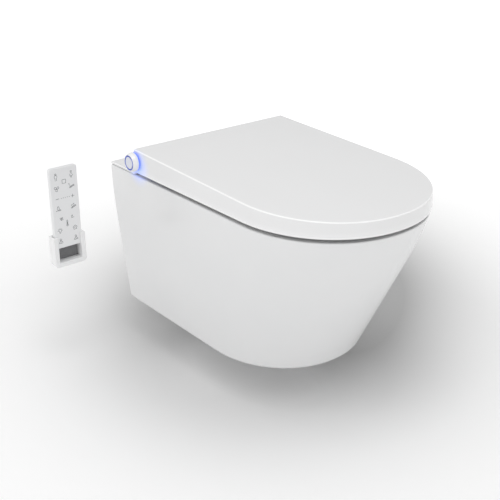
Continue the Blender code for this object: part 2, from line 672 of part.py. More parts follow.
def lid():
    """Slim lid: sloping top, deep skirt, open rear, bosses on the hinge line, two bumpers."""
    axis = (HINGE_Y, HINGE_Z)

    def level(inset, drop, rear, low=None):
        flare = LID_FLARE if low is not None else 0.0
        outline = d_outline(LID_HALF_WIDTH + flare - inset, LID_LENGTH + flare - inset, LID_STRAIGHT, rear)
        return [(x, y, lid_top(y) - drop if low is None else low) for x, y in outline]

    shell = loft("lid_shell", [level(0.0, 0.0, LID_REAR, LID_BOTTOM), level(0.0, LID_EDGE, LID_REAR),
                               level(LID_EDGE, 0.0, LID_REAR)])
    cut(shell, loft("inside", [level(LID_SKIRT, 0.0, LID_REAR - 0.02, LID_BOTTOM - 0.004),
                               level(LID_SKIRT, LID_SKIN, LID_REAR - 0.02)]))
    for side in (-1, 1):
        xs = sorted((side * 0.1530, side * 0.1835))
        join(shell, rod("boss", "X", axis, 0.0120, xs[0], xs[1], count=28))
    cut(shell, rod("left_bore", "X", axis, PIN_BORE, 0.14, 0.1812), rod("right_bore", "X", axis, PIN_BORE, -0.19, -0.14))
    dress(shell, "white_plastic")
    items = [shell]
    for name, side in (("left", 1), ("right", -1)):
        y = -0.480
        items.append(block("lid_bumper_" + name, (side * 0.135 - 0.005, y - 0.010, SEAT_TOP + GAP),
                           (side * 0.135 + 0.005, y + 0.010, lid_top(y - 0.010) - LID_SKIN - GAP),
                           "white_rubber"))
    for item in items:
        set_origin(item, (0.0, *axis))


# ---------------------------------------------------------------- remote control and its wall dock
def remote():
    """Handset in two shells with board, coin cell and sliding battery door, standing in its wall dock."""
    x, zb = REMOTE_X, REMOTE_BOTTOM
    half, top = REMOTE_HALF, REMOTE_BOTTOM + REMOTE_LENGTH

    def slab(name, half_width, y0, y1, low, high):
        return block(name, (x - half_width, y0, low), (x + half_width, y1, high))

    back = slab("remote_back", half, -0.0150, -0.0060, zb, top)
    cut(back, slab("tub", half - 0.0015, -0.0170, -0.0090, zb + 0.0015, top - 0.0015),
        slab("door_recess", 0.0168, -0.0078, -0.0050, zb + 0.020, zb + 0.100),
        slab("hatch", 0.0140, -0.0120, -0.0070, zb + 0.036, zb + 0.094))
    dress(back, "satin_white")
    front = slab("remote_front", half, -0.0180, -0.0150 - GAP, zb, top)
    dress(front, "satin_white")
    dress(slab("battery_door", 0.0164, -0.0075, -0.0062, zb + 0.0305, zb + 0.0997), "satin_white")
    rod("battery_cell", "Y", (x, zb + 0.065), 0.0122, -0.0124, -0.0094, "steel")
    dress(slab("remote_board", 0.0260, -0.0144, -0.0134, zb + 0.004, top - 0.004), "board_green")

    low, high = DOCK_BOTTOM, DOCK_BOTTOM + DOCK_HEIGHT
    dock = slab("dock_frame", DOCK_HALF, -0.0225, 0.0 - GAP, low, high)
    cut(dock, slab("groove", half + 0.0005, -0.0185, -0.0056, zb - GAP, high + 0.01),
        slab("window", 0.0245, -0.0300, -0.0040, low + 0.009, high + 0.01))
    dress(dock, "white_plastic")
    dress(slab("dock_pad", 0.0240, -0.0053, -0.0040 - GAP, low + 0.0095, high - 0.0005), "pad_grey")


def main():
    """Build every piece."""
    clear_scene()
    ceramic_pan()
    pan_fixings()
    rear_cover()
    upper_housing()
    base_tray()
    front_fascia()
    electrics()
    dryer()
    deodoriser()
    nozzle()
    hinge_line()
    knob()
    seat()
    lid()
    remote()


main()
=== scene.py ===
"""Looks of a wall-hung shower toilet with its seat unit, lit side knob and docked remote control.

Metres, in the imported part's frame: +Z up, the wall is Y = 0 and the toilet stands out towards -Y.
A shape is a set of rings worked out as whole arrays and skinned into a mesh. A finish is a small
class that writes its own shader tree.
"""

import logging
import math
from dataclasses import dataclass, field
from enum import Enum
from typing import Any, Iterable, Sequence

import bmesh
import bpy
import numpy as np
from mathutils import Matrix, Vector


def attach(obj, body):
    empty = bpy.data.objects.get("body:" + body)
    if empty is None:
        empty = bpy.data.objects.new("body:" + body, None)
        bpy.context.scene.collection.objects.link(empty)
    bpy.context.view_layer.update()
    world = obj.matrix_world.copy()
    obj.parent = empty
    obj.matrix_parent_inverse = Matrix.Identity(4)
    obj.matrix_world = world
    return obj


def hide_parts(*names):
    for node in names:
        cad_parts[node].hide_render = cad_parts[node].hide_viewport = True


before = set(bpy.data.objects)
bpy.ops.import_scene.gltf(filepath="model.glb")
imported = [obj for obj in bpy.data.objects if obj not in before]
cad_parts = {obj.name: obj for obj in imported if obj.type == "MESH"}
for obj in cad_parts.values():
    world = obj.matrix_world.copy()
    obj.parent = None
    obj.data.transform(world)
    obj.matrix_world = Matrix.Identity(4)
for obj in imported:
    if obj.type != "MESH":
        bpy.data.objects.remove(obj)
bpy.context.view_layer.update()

log = logging.getLogger("shower_toilet")
Colour = tuple[float, float, float]
Point = tuple[float, float, float]
Lines = list[np.ndarray]
BLACK: Colour = (0.0, 0.0, 0.0)

SHARP = math.radians(34.0)      # edges that turn more than this stay sharp
WELD = 4e-6                     # points closer than this are one
HINGE_Y, HINGE_Z = -0.094, 0.110
KNOB_FACE = -0.1866             # side face of the lid skirt behind the knob
STRAIGHT = 1.55                 # half of a corner's angle past which it counts as straight
SHARE = 0.49                    # most of a side that the arc at one end may take up
MITRE = 0.3                     # least divisor of a mitre, so that a keen corner stays short
CAP_STEP = 0.0004               # last ring of a face lies this far inside its rounded edge
MM = 0.001


class Axis(Enum):
    """Direction that a flat outline is lifted along."""

    X = "x"
    Y = "y"
    Z = "z"


class Body(Enum):
    """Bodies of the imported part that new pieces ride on."""

    ROOT = "root"
    SEAT = "seat"
    LID = "lid"
    KNOB = "knob"
    BUTTON = "knob_push"
    HANDSET = "handset"
    BATTERY = "battery_cover"


# ------------------------------------------------------------------ outlines
def spline(knots: Sequence[float], values: np.ndarray, at: np.ndarray) -> np.ndarray:
    """Smooth curve through values: cubic pieces whose slope at a knot is that of its neighbours' chord.

    Args:
        knots: rising parameter of each row of values.
        values: one row per knot.
        at: parameters to read the curve at.

    Returns:
        One row per parameter.
    """
    k = np.asarray(knots, float)
    v = np.asarray(values, float)
    slope = np.gradient(v, k, axis=0)
    i = np.clip(np.searchsorted(k, at, side="right") - 1, 0, len(k) - 2)
    h = (k[i + 1] - k[i])[:, None]
    t = ((at - k[i]) / h[:, 0])[:, None]
    return ((2 * t**3 - 3 * t**2 + 1) * v[i] + (t**3 - 2 * t**2 + t) * h * slope[i]
            + (3 * t**2 - 2 * t**3) * v[i + 1] + (t**3 - t**2) * h * slope[i + 1])


def circle(radius: float, count: int = 48, centre: tuple[float, float] = (0.0, 0.0)) -> np.ndarray:
    """Loop of points at one distance from a centre.

    Args:
        radius: the distance.
        count: how many points.
        centre: the centre.

    Returns:
        The points, anticlockwise from the first axis.
    """
    angle = np.linspace(0, 2 * math.pi, count, endpoint=False)
    return np.stack([centre[0] + radius * np.cos(angle), centre[1] + radius * np.sin(angle)], 1)


def rounded(corners: Iterable[Sequence[float]], radius: float | Sequence[float], steps: int = 6,
            closed: bool = True) -> np.ndarray:
    """Polyline whose corners are arcs that meet both sides smoothly.

    Args:
        corners: corner points in order.
        radius: one radius, or one for each corner.
        steps: segments in each arc.
        closed: whether the last corner joins the first.

    Returns:
        Points in order.
    """
    p = np.asarray(list(corners), float)
    n = len(p)
    radii = np.full(n, radius) if np.isscalar(radius) else np.asarray(radius, float)
    done = []
    for i in range(n):
        ends = not closed and i in (0, n - 1)
        a, b = p[i - 1] - p[i], p[(i + 1) % n] - p[i]
        la, lb = np.linalg.norm(a), np.linalg.norm(b)
        if ends or radii[i] <= 0 or la == 0 or lb == 0:
            done.append(p[i][None])
            continue
        a, b = a / la, b / lb
        half = 0.5 * math.acos(float(np.clip(a @ b, -1, 1)))
        if half > STRAIGHT:
            done.append(p[i][None])
            continue
        reach = min(radii[i] / math.tan(half), SHARE * la, SHARE * lb)
        middle = (a + b) / np.linalg.norm(a + b)
        centre = p[i] + middle * reach / math.cos(half)
        start, end = p[i] + a * reach - centre, p[i] + b * reach - centre
        total = math.pi - 2 * half
        w = np.linspace(0, 1, steps + 1)[:, None]
        done.append(centre + (np.sin((1 - w) * total) * start + np.sin(w * total) * end) / math.sin(total))
    return np.concatenate(done)


def box_loop(x0: float, x1: float, y0: float, y1: float, radius: float | Sequence[float] = 0.0,
             steps: int = 6) -> np.ndarray:
    """Rectangle with rounded corners, from its lowest corner and anticlockwise.

    Args:
        x0: low end of the first coordinate.
        x1: its high end.
        y0: low end of the second coordinate.
        y1: its high end.
        radius: one radius, or one for each corner.
        steps: segments in each arc.

    Returns:
        The closed loop.
    """
    return rounded([(x0, y0), (x1, y0), (x1, y1), (x0, y1)], radius, steps)


def inset(loop: np.ndarray, depth: float) -> np.ndarray:
    """Loop moved inwards: each point goes along the mitre of its two sides.

    Args:
        loop: the outline, in either direction.
        depth: how far each side moves; below 0 it moves outwards.

    Returns:
        As many points, in the same order.
    """
    ahead = np.roll(loop, -1, 0) - loop
    ahead /= np.maximum(np.linalg.norm(ahead, axis=1, keepdims=True), 1e-12)
    behind = np.roll(ahead, 1, 0)
    area = np.sum(loop[:, 0] * np.roll(loop[:, 1], -1) - loop[:, 1] * np.roll(loop[:, 0], -1))
    turn = np.array([[0, 1], [-1, 0]]) * (1 if area > 0 else -1)
    a, b = ahead @ turn, behind @ turn
    return loop + depth * (a + b) / np.maximum(1 + np.sum(a * b, 1, keepdims=True), MITRE)


def superellipse(half_x: float, half_y: float, power: float, angle: np.ndarray) -> np.ndarray:
    """Points where |x/a|^p + |y/b|^p = 1, seen from the centre along each angle.

    Args:
        half_x: a, the half width.
        half_y: b, the half length.
        power: p; 2 is an ellipse and more is squarer.
        angle: directions from the centre.

    Returns:
        One point for each angle.
    """
    c, s = np.cos(angle), np.sin(angle)
    reach = (np.abs(c / half_x) ** power + np.abs(s / half_y) ** power) ** (-1 / power)
    return np.stack([reach * c, reach * s], 1)


def d_path(half: float, length: float, straight: float, rear: float, front: int = 120,
           side: int = 12) -> np.ndarray:
    """Open D: a straight left side from the rear, a superellipse front, a straight right side back.

    Args:
        half: half width.
        length: distance of the front from the wall.
        straight: where the straight sides end.
        rear: where they start.
        front: segments round the front.
        side: points on each straight side.

    Returns:
        The points from the left rear to the right rear.
    """
    power = 2.08
    turn = np.linspace(0, math.pi, front + 1)
    c, s = np.cos(turn), np.sin(turn)
    nose = np.stack([-half * np.sign(c) * np.abs(c) ** (2 / power),
                     -straight - (length - straight) * np.abs(s) ** (2 / power)], 1)
    run = np.linspace(-rear, -straight, side + 1)[:-1]
    left = np.stack([np.full(side, -half), run], 1)
    return np.concatenate([left, nose, (left * (-1, 1))[::-1]])


def d_loop(half: float, length: float, straight: float, rear: float, corner: float = 0.003) -> np.ndarray:
    """Closed D: the open one, with arcs at the two rear corners and a straight rear edge.

    Args:
        half: half width.
        length: distance of the front from the wall.
        straight: where the straight sides end.
        rear: distance of the rear edge from the wall.
        corner: radius of the rear corners.

    Returns:
        The closed loop.
    """
    path = d_path(half, length, straight, rear + corner)
    turn = np.linspace(0, math.pi / 2, 6)[:-1]
    right = np.stack([half - corner + corner * np.cos(turn), -rear - corner + corner * np.sin(turn)], 1)
    edge = np.stack([np.linspace(half - corner, -half + corner, 17), np.full(17, -rear)], 1)
    left = (right * (-1, 1))[::-1]
    return np.concatenate([path, right[1:], edge, left[:-1]])


# ------------------------------------------------------------------ meshes
def lift(loop: np.ndarray, axis: Axis, height: float) -> np.ndarray:
    """Flat points placed at a height along an axis; the outline gives the other two coordinates.

    Args:
        loop: flat points.
        axis: the axis.
        height: the coordinate along it.

    Returns:
        Points in space.
    """
    u, v, h = loop[:, 0], loop[:, 1], np.full(len(loop), height)
    order = {Axis.X: (h, u, v), Axis.Y: (u, h, v), Axis.Z: (u, v, h)}[axis]
    return np.stack(order, 1)


def new_object(name: str, mesh: bpy.types.Mesh) -> bpy.types.Object:
    """Object at the origin that shows a mesh.

    Args:
        name: the object's name.
        mesh: its mesh.

    Returns:
        The object, linked to the scene.
    """
    item = bpy.data.objects.new(name, mesh)
    bpy.context.scene.collection.objects.link(item)
    return item


def smooth(mesh: bpy.types.Mesh) -> None:
    """Shade a mesh smoothly between its sharp edges."""
    mesh.shade_smooth()
    mesh.set_sharp_from_angle(angle=SHARP)


def tidy(mesh: bpy.types.Mesh, closed: bool = True) -> None:
    """Merge doubled points, turn a closed shell outwards, and smooth it between its sharp edges.

    Args:
        mesh: the mesh, which is changed.
        closed: whether it encloses a volume.
    """
    work = bmesh.new()
    work.from_mesh(mesh)
    bmesh.ops.remove_doubles(work, verts=work.verts, dist=WELD / 4)
    bmesh.ops.dissolve_degenerate(work, edges=work.edges, dist=WELD / 8)
    if closed and work.calc_volume(signed=True) < 0:
        bmesh.ops.reverse_faces(work, faces=work.faces)
    work.to_mesh(mesh)
    work.free()
    smooth(mesh)


def skin(name: str, rings: np.ndarray, wrap: bool = True, loop: bool = False,
         caps: bool = True) -> bpy.types.Object:
    """Surface of two parameters: row k of the grid is ring k, and neighbours in both directions join.

    Args:
        name: the piece's name.
        rings: array of rows, points and coordinates.
        wrap: whether each ring closes on itself.
        loop: whether the last ring joins the first.
        caps: whether the first and last rings are filled.

    Returns:
        The object, at the origin.
    """
    rows, count = rings.shape[:2]
    index = np.arange(rows * count).reshape(rows, count)
    low = index if loop else index[:-1]
    high = np.roll(index, -1, 0) if loop else index[1:]
    here = count if wrap else count - 1
    low_next, high_next = np.roll(low, -1, 1), np.roll(high, -1, 1)
    quads = np.stack([low, low_next, high_next, high], -1)[:, :here].reshape(-1, 4)
    faces = quads.tolist()
    if caps and not loop:
        faces += [index[0, ::-1].tolist(), index[-1].tolist()]
    mesh = bpy.data.meshes.new(name)
    mesh.from_pydata(rings.reshape(-1, 3).tolist(), [], faces)
    tidy(mesh, closed=caps or loop)
    return new_object(name, mesh)


def plate(name: str, loop: np.ndarray, axis: Axis, low: float, high: float, edge: float = 0.0008,
          far_edge: float | None = None, steps: int = 4) -> bpy.types.Object:
    """Flat body of an outline; its edges are quarter rounds, inset r(1 - sin t) at height r(1 - cos t).

    Args:
        name: the piece's name.
        loop: the outline.
        axis: the direction of its thickness.
        low: first face along the axis.
        high: second face along the axis.
        edge: radius of the edge at both faces.
        far_edge: another radius for the second face.
        steps: segments in a quarter round.

    Returns:
        The object.
    """
    last = edge if far_edge is None else far_edge
    t = np.linspace(0, math.pi / 2, steps + 1)
    rows = []
    for radius, face, way in ((edge, low, 1), (last, high, -1)):
        quarter = [(radius * (1 - math.sin(a)), face + way * radius * (1 - math.cos(a))) for a in t]
        support = [(radius + CAP_STEP, face)]
        rows += (support + quarter)[::way]
    return skin(name, np.stack([lift(inset(loop, d), axis, h) for d, h in rows]))


def turned(name: str, profile: np.ndarray, centre: tuple[float, float] = (HINGE_Y, HINGE_Z),
           axis: Axis = Axis.X, count: int = 96, loop: bool = False) -> bpy.types.Object:
    """Body of revolution: every profile point (along, radius) goes round the axis.

    Args:
        name: the piece's name.
        profile: points of distance along the axis and radius.
        centre: where the axis crosses the plane of the other two coordinates.
        axis: the axis.
        count: points round it.
        loop: whether the profile closes on itself, as on a ring.

    Returns:
        The object.
    """
    rings = [lift(circle(max(radius, 1e-9), count, centre), axis, along) for along, radius in profile]
    return skin(name, np.stack(rings), loop=loop, caps=not loop)


def ring(name: str, outer: float, inner: float, low: float, high: float,
         round_edge: float = 0.0003) -> bpy.types.Object:
    """Ring with eased edges round the hinge axis.

    Args:
        name: the piece's name.
        outer: outer radius.
        inner: inner radius.
        low: first end along the axis.
        high: second end.
        round_edge: radius of its edges.

    Returns:
        The object.
    """
    section = rounded([(low, inner), (low, outer), (high, outer), (high, inner)], round_edge, 3)
    return turned(name, section, loop=True)


def tube(name: str, path: np.ndarray, grow: float = 0.0, rows: int = 48, count: int = 36) -> bpy.types.Object:
    """Pipe in the YZ plane: circles of changing radius stand across a smooth line through the path.

    Args:
        name: the piece's name.
        path: rows of distance from the wall, height and radius.
        grow: added to the radius.
        rows: circles along the line.
        count: points in a circle.

    Returns:
        The closed pipe.
    """
    knots = np.concatenate([[0], np.cumsum(np.linalg.norm(np.diff(path[:, :2], axis=0), axis=1))])
    line = spline(knots, path, np.linspace(0, knots[-1], rows))
    run = np.gradient(line[:, :2], axis=0) * (-1, 1)
    run /= np.linalg.norm(run, axis=1, keepdims=True)
    angle = np.linspace(0, 2 * math.pi, count, endpoint=False)
    radius = line[:, 2][:, None] + grow
    across, up = radius * np.cos(angle), radius * np.sin(angle)
    y = -line[:, 0][:, None] + up * -run[:, 1][:, None]
    z = line[:, 1][:, None] + up * run[:, 0][:, None]
    return skin(name, np.stack([across, y, z], -1))


def cut(target: bpy.types.Object, tools: Sequence[bpy.types.Object]) -> bpy.types.Object:
    """Take the tools away from the target in one exact boolean, and remove them.

    Args:
        target: the object that is cut.
        tools: closed objects.

    Returns:
        The target.
    """
    bin_ = bpy.data.collections.new("tools")
    for tool in tools:
        bin_.objects.link(tool)
    modifier = target.modifiers.new("cut", "BOOLEAN")
    modifier.operation, modifier.solver = "DIFFERENCE", "EXACT"
    modifier.operand_type, modifier.collection = "COLLECTION", bin_
    mesh = bpy.data.meshes.new_from_object(target.evaluated_get(bpy.context.evaluated_depsgraph_get()))
    target.modifiers.clear()
    target.data = mesh
    work = bmesh.new()
    work.from_mesh(mesh)
    bmesh.ops.remove_doubles(work, verts=work.verts, dist=WELD)
    work.to_mesh(mesh)
    work.free()
    smooth(mesh)
    for tool in tools:
        bpy.data.objects.remove(tool)
    bpy.data.collections.remove(bin_)
    return target


def fuse(name: str, items: Sequence[bpy.types.Object]) -> bpy.types.Object:
    """One object that holds several separate shells of the same finish.

    Args:
        name: the object's name.
        items: the shells, which are removed.

    Returns:
        The object.
    """
    work = bmesh.new()
    for item in items:
        work.from_mesh(item.data)
        bpy.data.objects.remove(item)
    mesh = bpy.data.meshes.new(name)
    work.to_mesh(mesh)
    work.free()
    smooth(mesh)
    return new_object(name, mesh)


# ------------------------------------------------------------------ shader trees
class Value:
    """A number, colour or vector on a socket; arithmetic on it adds Math nodes."""

    def __init__(self, shade: "Shade", socket: bpy.types.NodeSocket) -> None:
        """Keep the tree and the socket."""
        self.shade, self.socket = shade, socket

    def __add__(self, other: Any) -> "Value":
        """self + other."""
        return self.shade.math("ADD", self, other)

    def __sub__(self, other: Any) -> "Value":
        """self - other."""
        return self.shade.math("SUBTRACT", self, other)

    def __rsub__(self, other: Any) -> "Value":
        """other - self."""
        return self.shade.math("SUBTRACT", other, self)

    def __mul__(self, other: Any) -> "Value":
        """self * other."""
        return self.shade.math("MULTIPLY", self, other)

    def __truediv__(self, other: Any) -> "Value":
        """self / other."""
        return self.shade.math("DIVIDE", self, other)

    def __pow__(self, other: Any) -> "Value":
        """self to a power."""
        return self.shade.math("POWER", self, other)

    __radd__, __rmul__ = __add__, __mul__

    def clamp(self, low: float = 0.0, high: float = 1.0) -> "Value":
        """self kept between two numbers."""
        return self.shade.math("MAXIMUM", self.shade.math("MINIMUM", self, high), low)

    def ramp(self, low: float, high: float) -> "Value":
        """0 where self is at low, 1 where it is at high, straight between."""
        return ((self - low) / (high - low)).clamp()


class Shade:
    """Shader tree of one finish, ending in a Principled shader."""

    def __init__(self, name: str, world: bpy.types.World | None = None) -> None:
        """Make the material and its object coordinates, or take a world's tree.

        Args:
            name: the material's name.
            world: a world, whose tree is taken instead.
        """
        self.material = world or bpy.data.materials.new(name)
        self.material.use_nodes = True
        self.tree = self.material.node_tree
        self.shader = self.tree.nodes.get("Principled BSDF")
        self.coordinates = self.node("ShaderNodeTexCoord")
        self.place = self.coordinates.outputs["Object"]

    def node(self, kind: str, settings: dict[str, Any] | None = None,
             inputs: dict[Any, Any] | None = None) -> bpy.types.Node:
        """Add a node.

        Args:
            kind: the node's type.
            settings: its properties.
            inputs: values or links of its sockets, by name or number.

        Returns:
            The node.
        """
        made = self.tree.nodes.new(kind)
        for key, value in (settings or {}).items():
            setattr(made, key, value)
        for key, value in (inputs or {}).items():
            self.feed(made.inputs[key], value)
        return made

    def feed(self, socket: bpy.types.NodeSocket, value: Any) -> None:
        """Link a value to a socket, or set the socket to a number or colour.

        Args:
            socket: the socket.
            value: a Value, a socket, a number or a colour.
        """
        if isinstance(value, Value):
            self.tree.links.new(value.socket, socket)
        elif isinstance(value, bpy.types.NodeSocket):
            self.tree.links.new(value, socket)
        elif isinstance(value, tuple) and len(value) == 3 and socket.type == "RGBA":
            socket.default_value = (*value, 1.0)
        else:
            socket.default_value = value

    def math(self, operation: str, *values: Any) -> Value:
        """One Math node on numbers.

        Args:
            operation: the sum it does.
            values: its inputs in order.

        Returns:
            The result.
        """
        made = self.node("ShaderNodeMath", {"operation": operation}, dict(enumerate(values)))
        return Value(self, made.outputs[0])

    def mix(self, low: Any, high: Any, factor: Any) -> Value:
        """Colour between two colours.

        Args:
            low: colour where the factor is 0.
            high: colour where it is 1.
            factor: share of the second colour.

        Returns:
            The colour.
        """
        made = self.node("ShaderNodeMix", {"data_type": "RGBA"}, {0: factor, 6: low, 7: high})
        return Value(self, made.outputs[2])

    def noise(self, scale: float, detail: float = 2.0, stretch: Point = (1.0, 1.0, 1.0),
              rough: float = 0.5) -> Value:
        """Smooth noise from 0 to 1.

        Args:
            scale: waves in a metre.
            detail: finer layers on top of the first.
            stretch: factors on the three coordinates.
            rough: weight of each finer layer.

        Returns:
            The noise.
        """
        mapped = self.node("ShaderNodeMapping", None, {"Vector": self.place, "Scale": stretch})
        made = self.node("ShaderNodeTexNoise", None, {"Vector": mapped.outputs[0], "Scale": scale,
                                                      "Detail": detail, "Roughness": rough})
        return Value(self, made.outputs[0])

    def axes(self) -> tuple[Value, Value, Value]:
        """The three object coordinates."""
        split = self.node("ShaderNodeSeparateXYZ", None, {0: self.place})
        return tuple(Value(self, out) for out in split.outputs)

    def distance(self, point: Point) -> Value:
        """Distance from a point in metres."""
        made = self.node("ShaderNodeVectorMath", {"operation": "DISTANCE"}, {0: self.place, 1: point})
        return Value(self, made.outputs["Value"])

    def bump(self, height: Value, depth: float, strength: float = 1.0) -> None:
        """Press a height of 0 to 1 into the surface.

        Args:
            height: the height.
            depth: metres between 0 and 1.
            strength: share of the slope that shows.
        """
        made = self.node("ShaderNodeBump", None, {"Strength": strength, "Distance": depth, "Height": height})
        self.feed(self.shader.inputs["Normal"], made.outputs[0])

    def set(self, **values: Any) -> None:
        """Set or link the shader's sockets; underscores stand for spaces."""
        for key, value in values.items():
            self.feed(self.shader.inputs[key.replace("_", " ")], value)


@dataclass(frozen=True)
class Finish:
    """A finish of one kind of surface: subclasses write its tree."""

    name: str
    slot: str

    def write(self, shade: Shade) -> None:
        """Write the tree."""
        raise NotImplementedError

    def material(self) -> bpy.types.Material:
        """The material, made once.

        Returns:
            The material.
        """
        known = bpy.data.materials.get(self.name)
        if known:
            return known
        shade = Shade(self.name)
        self.write(shade)
        return shade.material


@dataclass(frozen=True)
class Halo:
    """Painted blue glow that stands for the knob ring's light on the white surfaces round it."""

    reach: float = 0.046
    rim: float = 0.012
    centre: Point = (KNOB_FACE, HINGE_Y - 0.005, HINGE_Z - 0.009)
    side: tuple[float, float] = (-0.1835, -0.1790)      # outer side faces, and where the glow has ended
    fall: float = 1.9
    tint: Colour = (0.10, 0.22, 1.0)
    # tint of the painted blue glow in the base colour
    shadow: Colour = (0.52, 0.60, 0.95)
    painted_glow_share: float = 0.75             # most of the painted blue glow in the base colour
    light: float = 0.5              # most of the painted blue glow that shines as emission

    def amount(self, shade: Shade) -> Value:
        """1 at the knob's rim, falling to 0 at the reach, on outer side faces only.

        Args:
            shade: the tree of the surface.

        Returns:
            The share.
        """
        near = 1 - shade.distance(self.centre).ramp(self.rim, self.reach)
        outside = 1 - shade.axes()[0].ramp(*self.side)
        return near ** self.fall * outside


@dataclass(frozen=True)
class GlazedCeramic(Finish):
    """White sanitary glaze: clear coat over a body colour, faint pooling and a slow ripple."""

    colour: Colour = (0.805, 0.807, 0.809)
    pooled: Colour = (0.785, 0.789, 0.793)
    speck: Colour = (0.70, 0.70, 0.69)

    def write(self, shade: Shade) -> None:
        """Glaze colour, coat, ripple and the knob's painted blue glow.

        Args:
            shade: the finish's tree.
        """
        cloud = shade.noise(7.0, 3.0)
        specks = shade.noise(950.0, 1.0).ramp(0.80, 0.86)
        body = shade.mix(self.colour, self.pooled, cloud.ramp(0.35, 0.8))
        base = shade.mix(body, self.speck, specks * 0.35)
        # painted blue glow of the knob, in the base colour and in the emission
        halo = Halo().amount(shade)
        base = shade.mix(base, Halo.shadow, halo * Halo.painted_glow_share)
        ripple = shade.noise(16.0, 2.0) * 0.93 + shade.noise(160.0, 2.0) * 0.07
        shade.bump(ripple, 0.0009, 0.35)
        shade.set(Base_Color=base, Roughness=0.22 + 0.05 * shade.noise(30.0, 2.0), Specular_IOR_Level=0.4,
                  Coat_Weight=0.15, Coat_Roughness=0.10,
                  Emission_Color=shade.mix(BLACK, Halo.tint, halo * Halo.light), Emission_Strength=1.0)


@dataclass(frozen=True)
class Moulded(Finish):
    """Injection-moulded plastic: flow clouding, a fine skin texture, and sheen that varies with touch."""

    colour: Colour = (0.885, 0.886, 0.888)
    gloss: float = 0.24
    grain: float = 500.0
    depth: float = 0.0000007
    glow: bool = False
    coat: float = 0.2
    painted_edge_highlight: Colour = (0.96, 0.96, 0.96)            # painted highlight on the rolled edges
    gleam: Colour = (0.03, 0.03, 0.03)           # painted highlight: light that a rolled edge gives off
    side: float = 0.91                           # painted shade: upright faces against level ones

    def write(self, shade: Shade) -> None:
        """Colour clouds, skin texture, wear in the roughness, and on the lit copy a painted edge highlight,
        painted shade on upright faces and the painted blue glow.

        Args:
            shade: the finish's tree.
        """
        darker = tuple(c * 0.992 for c in self.colour)
        flow = shade.noise(6.0, 1.0, (1.0, 0.35, 1.0))
        base = shade.mix(self.colour, darker, flow.ramp(0.4, 0.85))
        wear = shade.noise(9.0, 1.0)
        shade.bump(shade.noise(self.grain, 2.0), self.depth, 0.5)
        if self.glow:
            halo = Halo().amount(shade)
            facing = shade.node("ShaderNodeSeparateXYZ", None, {0: shade.coordinates.outputs["Normal"]})
            up = Value(shade, facing.outputs[2])
            # mask of the rolled edges, where the highlight is painted
            rolled = up.ramp(0.20, 0.40) * (1 - up.ramp(0.90, 0.985))
            # painted shade: upright faces are darker than level ones
            base = shade.mix(base, tuple(self.side * c for c in self.colour), 1 - up.ramp(-0.1, 0.3))
            # painted highlight on the rolled edges, then the painted blue glow
            base = shade.mix(shade.mix(base, self.painted_edge_highlight, rolled), Halo.shadow, halo * Halo.painted_glow_share)
            # the painted highlight and the painted glow also shine as emission
            light = shade.mix(BLACK, self.gleam, rolled)
            shade.set(Emission_Color=shade.mix(light, Halo.tint, halo * Halo.light), Emission_Strength=1.0)
        shade.set(Base_Color=base, Roughness=self.gloss + 0.04 * wear, Coat_Weight=self.coat,
                  Coat_Roughness=0.12, IOR=1.5)


@dataclass(frozen=True)
class Metal(Finish):
    """Drawn or turned metal: lines along one direction, and a little tarnish."""

    colour: Colour = (0.66, 0.66, 0.67)
    rough: float = 0.26
    lines: Point = (0.06, 1.0, 1.0)              # the lines run along the small one
    tarnish: Colour = (0.42, 0.41, 0.40)

    def write(self, shade: Shade) -> None:
        """Brushed lines and tarnish.

        Args:
            shade: the finish's tree.
        """
        drawn = shade.noise(900.0, 3.0, self.lines)
        spots = shade.noise(60.0, 4.0).ramp(0.55, 0.85)
        shade.bump(drawn, 0.00002, 0.7)
        shade.set(Base_Color=shade.mix(self.colour, self.tarnish, spots * 0.5), Metallic=1.0,
                  Roughness=self.rough + 0.14 * drawn + 0.1 * spots)


@dataclass(frozen=True)
class Rubber(Finish):
    """Soft elastomer: matt, dusty in patches, with a fine pebble."""

    colour: Colour = (0.03, 0.03, 0.032)

    def write(self, shade: Shade) -> None:
        """Pebble and dust.

        Args:
            shade: the finish's tree.
        """
        pebble = shade.noise(1300.0, 2.0)
        dusty = tuple(min(1.0, c * 1.25 + 0.03) for c in self.colour)
        shade.bump(pebble, 0.00006, 0.8)
        shade.set(Base_Color=shade.mix(self.colour, dusty, shade.noise(70.0, 4.0).ramp(0.4, 0.8)),
                  Roughness=0.62 + 0.2 * pebble)


@dataclass(frozen=True)
class Board(Finish):
    """Circuit board: solder mask over copper tracks, with tinned pads."""

    def write(self, shade: Shade) -> None:
        """Tracks from a brick pattern, pads from a fine grid.

        Args:
            shade: the finish's tree.
        """
        flat = shade.node("ShaderNodeMapping", None, {"Vector": shade.place, "Scale": (1.0, 1.0, 0.02)})
        tracks = shade.node("ShaderNodeTexBrick", {"offset": 0.35},
                            {"Vector": flat.outputs[0], "Scale": 160.0, "Mortar Size": 0.012,
                             "Color1": BLACK, "Color2": (0.2, 0.2, 0.2), "Mortar": (1.0, 1.0, 1.0)})
        track = Value(shade, tracks.outputs["Fac"])
        pads = shade.noise(420.0, 0.0).ramp(0.66, 0.70)
        base = shade.mix(shade.mix((0.012, 0.13, 0.06), (0.03, 0.24, 0.11), track), (0.62, 0.60, 0.55), pads)
        shade.bump(track, 0.00008, 0.7)
        shade.set(Base_Color=base, Roughness=0.28 + 0.2 * track, Metallic=pads * 0.8)


